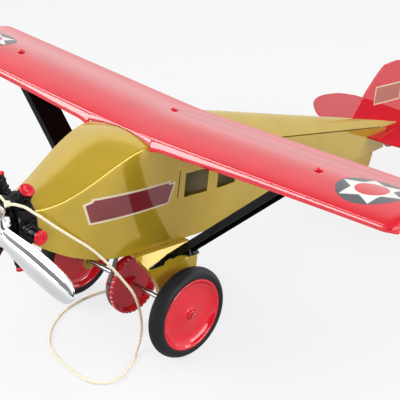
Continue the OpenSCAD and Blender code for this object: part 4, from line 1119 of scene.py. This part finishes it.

# %% [markdown]
# Each side of the nose carries a maroon panel with a stepped cream border, and behind it a thin black strip
# that paints the shade in the door slit; the fin carries a small bordered plate. They are thin sheets that
# follow the panel's own curve, one above the other, as a transfer would lie on the paint.

# %% plain panels on the sides
BORDER_TOP = [(-95.1, 113.0), (-86.6, 115.3), (-86.1, 117.2), (3.6, 117.8), (3.1, 115.6), (11.0, 115.4)]
BORDER_LOW = [(-87.6, 92.4), (3.1, 94.9)]
FIELD_TOP = [(-92.0, 111.4), (-84.4, 113.4), (-84.2, 115.2), (1.8, 115.8), (1.6, 113.8), (7.8, 113.6)]
FIELD_LOW = [(-86.0, 94.3), (2.0, 96.7)]
# The slit outline below is a black strip that stands for the shade in the door slit.
SLIT_SHADE_TOP, SLIT_SHADE_LOW = [(15.0, 124.9), (16.0, 124.9)], [(14.1, 97.8), (15.1, 97.8)]
SLIT_SHADE_LIFT, BORDER_LIFT, FIELD_LIFT = 0.05, 0.08, 0.14


def along(line, t):
    spans = [dist(a, b) for a, b in zip(line, line[1:])]
    run = t * sum(spans)
    for a, b, span in zip(line, line[1:], spans):
        if run <= span:
            return between_points(a, b, run / span)
        run -= span
    return line[-1]


def laid_on_side(name, top, bottom, side, lift, material):
    spans = [dist(a, b) for a, b in zip(top, top[1:])]
    corners = [sum(spans[:k]) / sum(spans) for k in range(len(top))]
    rows = []
    for s in sorted(set(corners + spread(0, 1, 40))):
        high, low = along(top, s), along(bottom, s)
        points = [between_points(high, low, t) for t in spread(0, 1, 6)]
        rows.append([(side * (plan_x(y) + lift), y, z) for y, z in points])
    faces = grid_faces(len(rows), len(rows[0]))
    thin_print(name, flat_list(rows), faces, "olive_enamel", (side, 0, 0), material)


for side, word in SIDES:
    laid_on_side("side_border_" + word, BORDER_TOP, BORDER_LOW, side, BORDER_LIFT, CREAM)
    laid_on_side("side_field_" + word, FIELD_TOP, FIELD_LOW, side, FIELD_LIFT, MAROON)
    # The slit is a black strip laid on the paint: painted shade.
    laid_on_side("side_slit_shade_" + word, SLIT_SHADE_TOP, SLIT_SHADE_LOW, side, SLIT_SHADE_LIFT, BLACK)
print("side panels lined")

# %% plain plate on the fin
PLATE_Y, PLATE_Z, PLATE_BORDER = (364.0, 414.0), (119.8, 141.6), 1.6
PLATE_LIFT, PLATE_FIELD_LIFT = 0.05, 0.10


def laid_on_fin(name, margin, side, lift, material):
    ys = spread(PLATE_Y[0] + margin, PLATE_Y[1] - margin, 8)
    zs = spread(PLATE_Z[0] + margin, PLATE_Z[1] - margin, 4)
    verts = [(side * (SHEET / 2 + lift), y, z) for y in ys for z in zs]
    faces = grid_faces(len(ys), len(zs))
    thin_print(name, verts, faces, "red_enamel", (side, 0, 0), material, smooth=False)


for side, word in SIDES:
    laid_on_fin("fin_border_" + word, 0, side, PLATE_LIFT, CREAM)
    laid_on_fin("fin_field_" + word, PLATE_BORDER, side, PLATE_FIELD_LIFT, ROSE)
print("fin plates laid")

# %% [markdown]
# The plane stands on pale paper. Truly white paper would lose its shadows, so it is grey with a glow that
# lights nothing. The camera sees that glow evenly. Paint and chrome mirror it dimmer close to the plane than
# further out, as a painted shadow of the plane in their reflections.

# %% floor
FLOOR_HALF, FLOOR_BOUNCE, FLOOR_PAPER, FLOOR_GLOW = 6.0, 0.42, 0.18, 0.74
# Mirror rays see the paper's glow dimmer near the plane than out in the open: a painted shadow of the plane.
SHADOWED_NEAR_FLOOR, OPEN_FLOOR = (0.12, grey(0.35)), (0.6, grey(0.92))


def add_math(tree, operation, *values):
    node = add_node(tree, "Math")
    node.operation = operation
    for socket, value in zip(node.inputs, values):
        feed(tree, socket, value)
    return node.outputs[0]


paper, tree, shader = node_material("floor_paper")
path = add_node(tree, "LightPath").outputs
seen = add_math(tree, "MAXIMUM", path["Is Camera Ray"], path["Is Glossy Ray"])
reach = add_node(tree, "VectorMath")
reach.operation = "LENGTH"
tree.links.new(add_node(tree, "TexCoord").outputs["Object"], reach.inputs[0])
# The glow seen in mirror rays falls off towards the plane: painted shadow.
mirror_glow_painted_shadow = add_ramp(tree, reach.outputs["Value"], [SHADOWED_NEAR_FLOOR, OPEN_FLOOR])
mirrored = add_math(tree, "MULTIPLY", path["Is Glossy Ray"], mirror_glow_painted_shadow)
straight = add_math(tree, "MULTIPLY", path["Is Camera Ray"], FLOOR_GLOW)
set_sockets(tree, shader, {
    "Base Color": mix_colours(tree, seen, grey(FLOOR_BOUNCE), grey(FLOOR_PAPER)), "Roughness": 0.7,
    "Specular IOR Level": 0.0, "Emission Color": (0.99, 0.995, 1.0),
    "Emission Strength": add_math(tree, "MAXIMUM", mirrored, straight)})
floor_mesh = bpy.data.meshes.new("floor")
corners = [(x * FLOOR_HALF, y * FLOOR_HALF, 0) for x, y in ((-1, -1), (1, -1), (1, 1), (-1, 1))]
floor_mesh.from_pydata(corners, [], [(0, 1, 2, 3)])
floor = add_object("floor", floor_mesh)
floor_mesh.materials.append(paper)
print("floor laid")

# %% [markdown]
# Shiny paint is lit by what it mirrors. Here that is pale walls up to about forty degrees, a darker ceiling
# above them and a dark curtain on the camera's side, so the wing turns pink towards its rear edge and the
# body keeps its colour. Only mirror rays see these walls. All other rays get an even, weaker light, and the
# camera sees white.

# %% walls, ceiling and curtain
WALL_LIGHT, CURTAIN_GREY = 0.27, 0.06
WALL_LEVELS = [(0.0, 1.15), (0.35, 1.1), (0.55, 1.25), (0.66, 1.15), (0.76, 0.5), (0.86, 0.3)]
CURTAIN_X, CURTAIN_Y, CURTAIN_FROM, CURTAIN_FULL = 0.70, -0.71, 0.62, 0.82
world = bpy.data.worlds.new("surround")
bpy.context.scene.world = world
world.use_nodes = True
tree = world.node_tree
path = add_node(tree, "LightPath").outputs
apart = add_node(tree, "SeparateXYZ")
tree.links.new(add_node(tree, "TexCoord").outputs["Generated"], apart.inputs[0])
heights = add_ramp(tree, apart.outputs["Z"], [(place, grey(level)) for place, level in WALL_LEVELS])
facing = add_math(tree, "MULTIPLY", apart.outputs["X"], CURTAIN_X)
facing = add_math(tree, "MULTIPLY_ADD", apart.outputs["Y"], CURTAIN_Y, facing)
curtain = add_ramp(tree, facing, [(CURTAIN_FROM, grey(0)), (CURTAIN_FULL, grey(1))])
mirrored = mix_colours(tree, curtain, heights, grey(CURTAIN_GREY))
plain = mix_colours(tree, path["Is Glossy Ray"], grey(WALL_LIGHT), mirrored)
seen = add_math(tree, "MAXIMUM", path["Is Camera Ray"], path["Is Transmission Ray"])
background = tree.nodes["Background"]
tree.links.new(mix_colours(tree, seen, plain, grey(1.0)), background.inputs["Color"])
background.inputs["Strength"].default_value = 1.0
print("walls up")

# %% [markdown]
# Five soft lamps do the rest. The key stands ahead of the right wing, and long lamps behind and at the left
# draw highlights along the folds. A small lamp beside the camera and a large one overhead only lift the
# shadows, so they are kept out of mirror rays.

# %% lamps
def soft_lamp(name, place, aim, size, watts, mirrored=True):
    data = bpy.data.lights.new(name, "AREA")
    data.shape = "RECTANGLE"
    data.size, data.size_y = size
    data.energy = watts
    lamp = add_object(name, data)
    lamp.location = place
    lamp.rotation_euler = (Vector(aim) - Vector(place)).to_track_quat("-Z", "Y").to_euler()
    lamp.visible_glossy = mirrored


soft_lamp("key", (-1.02, -1.0, 1.13), (0.05, 0, 0.18), (1.1, 0.9), 27)
soft_lamp("rear", (0.12, 1.7, 1.32), (0, 0.1, 0.1), (1.8, 0.7), 14)
soft_lamp("left_side", (1.75, 0.3, 0.85), (0, 0.1, 0.1), (1.8, 0.7), 23)
soft_lamp("camera_side", (0.9, -0.96, 0.80), (0, 0, 0.08), (0.3, 0.3), 7, mirrored=False)
soft_lamp("overhead", (0.1, 0.0, 1.9), (0, 0, 0.1), (1.4, 1.4), 5, mirrored=False)
bpy.context.scene.view_settings.view_transform = "Standard"
print("studio lit with", len(bpy.data.lights), "lamps")
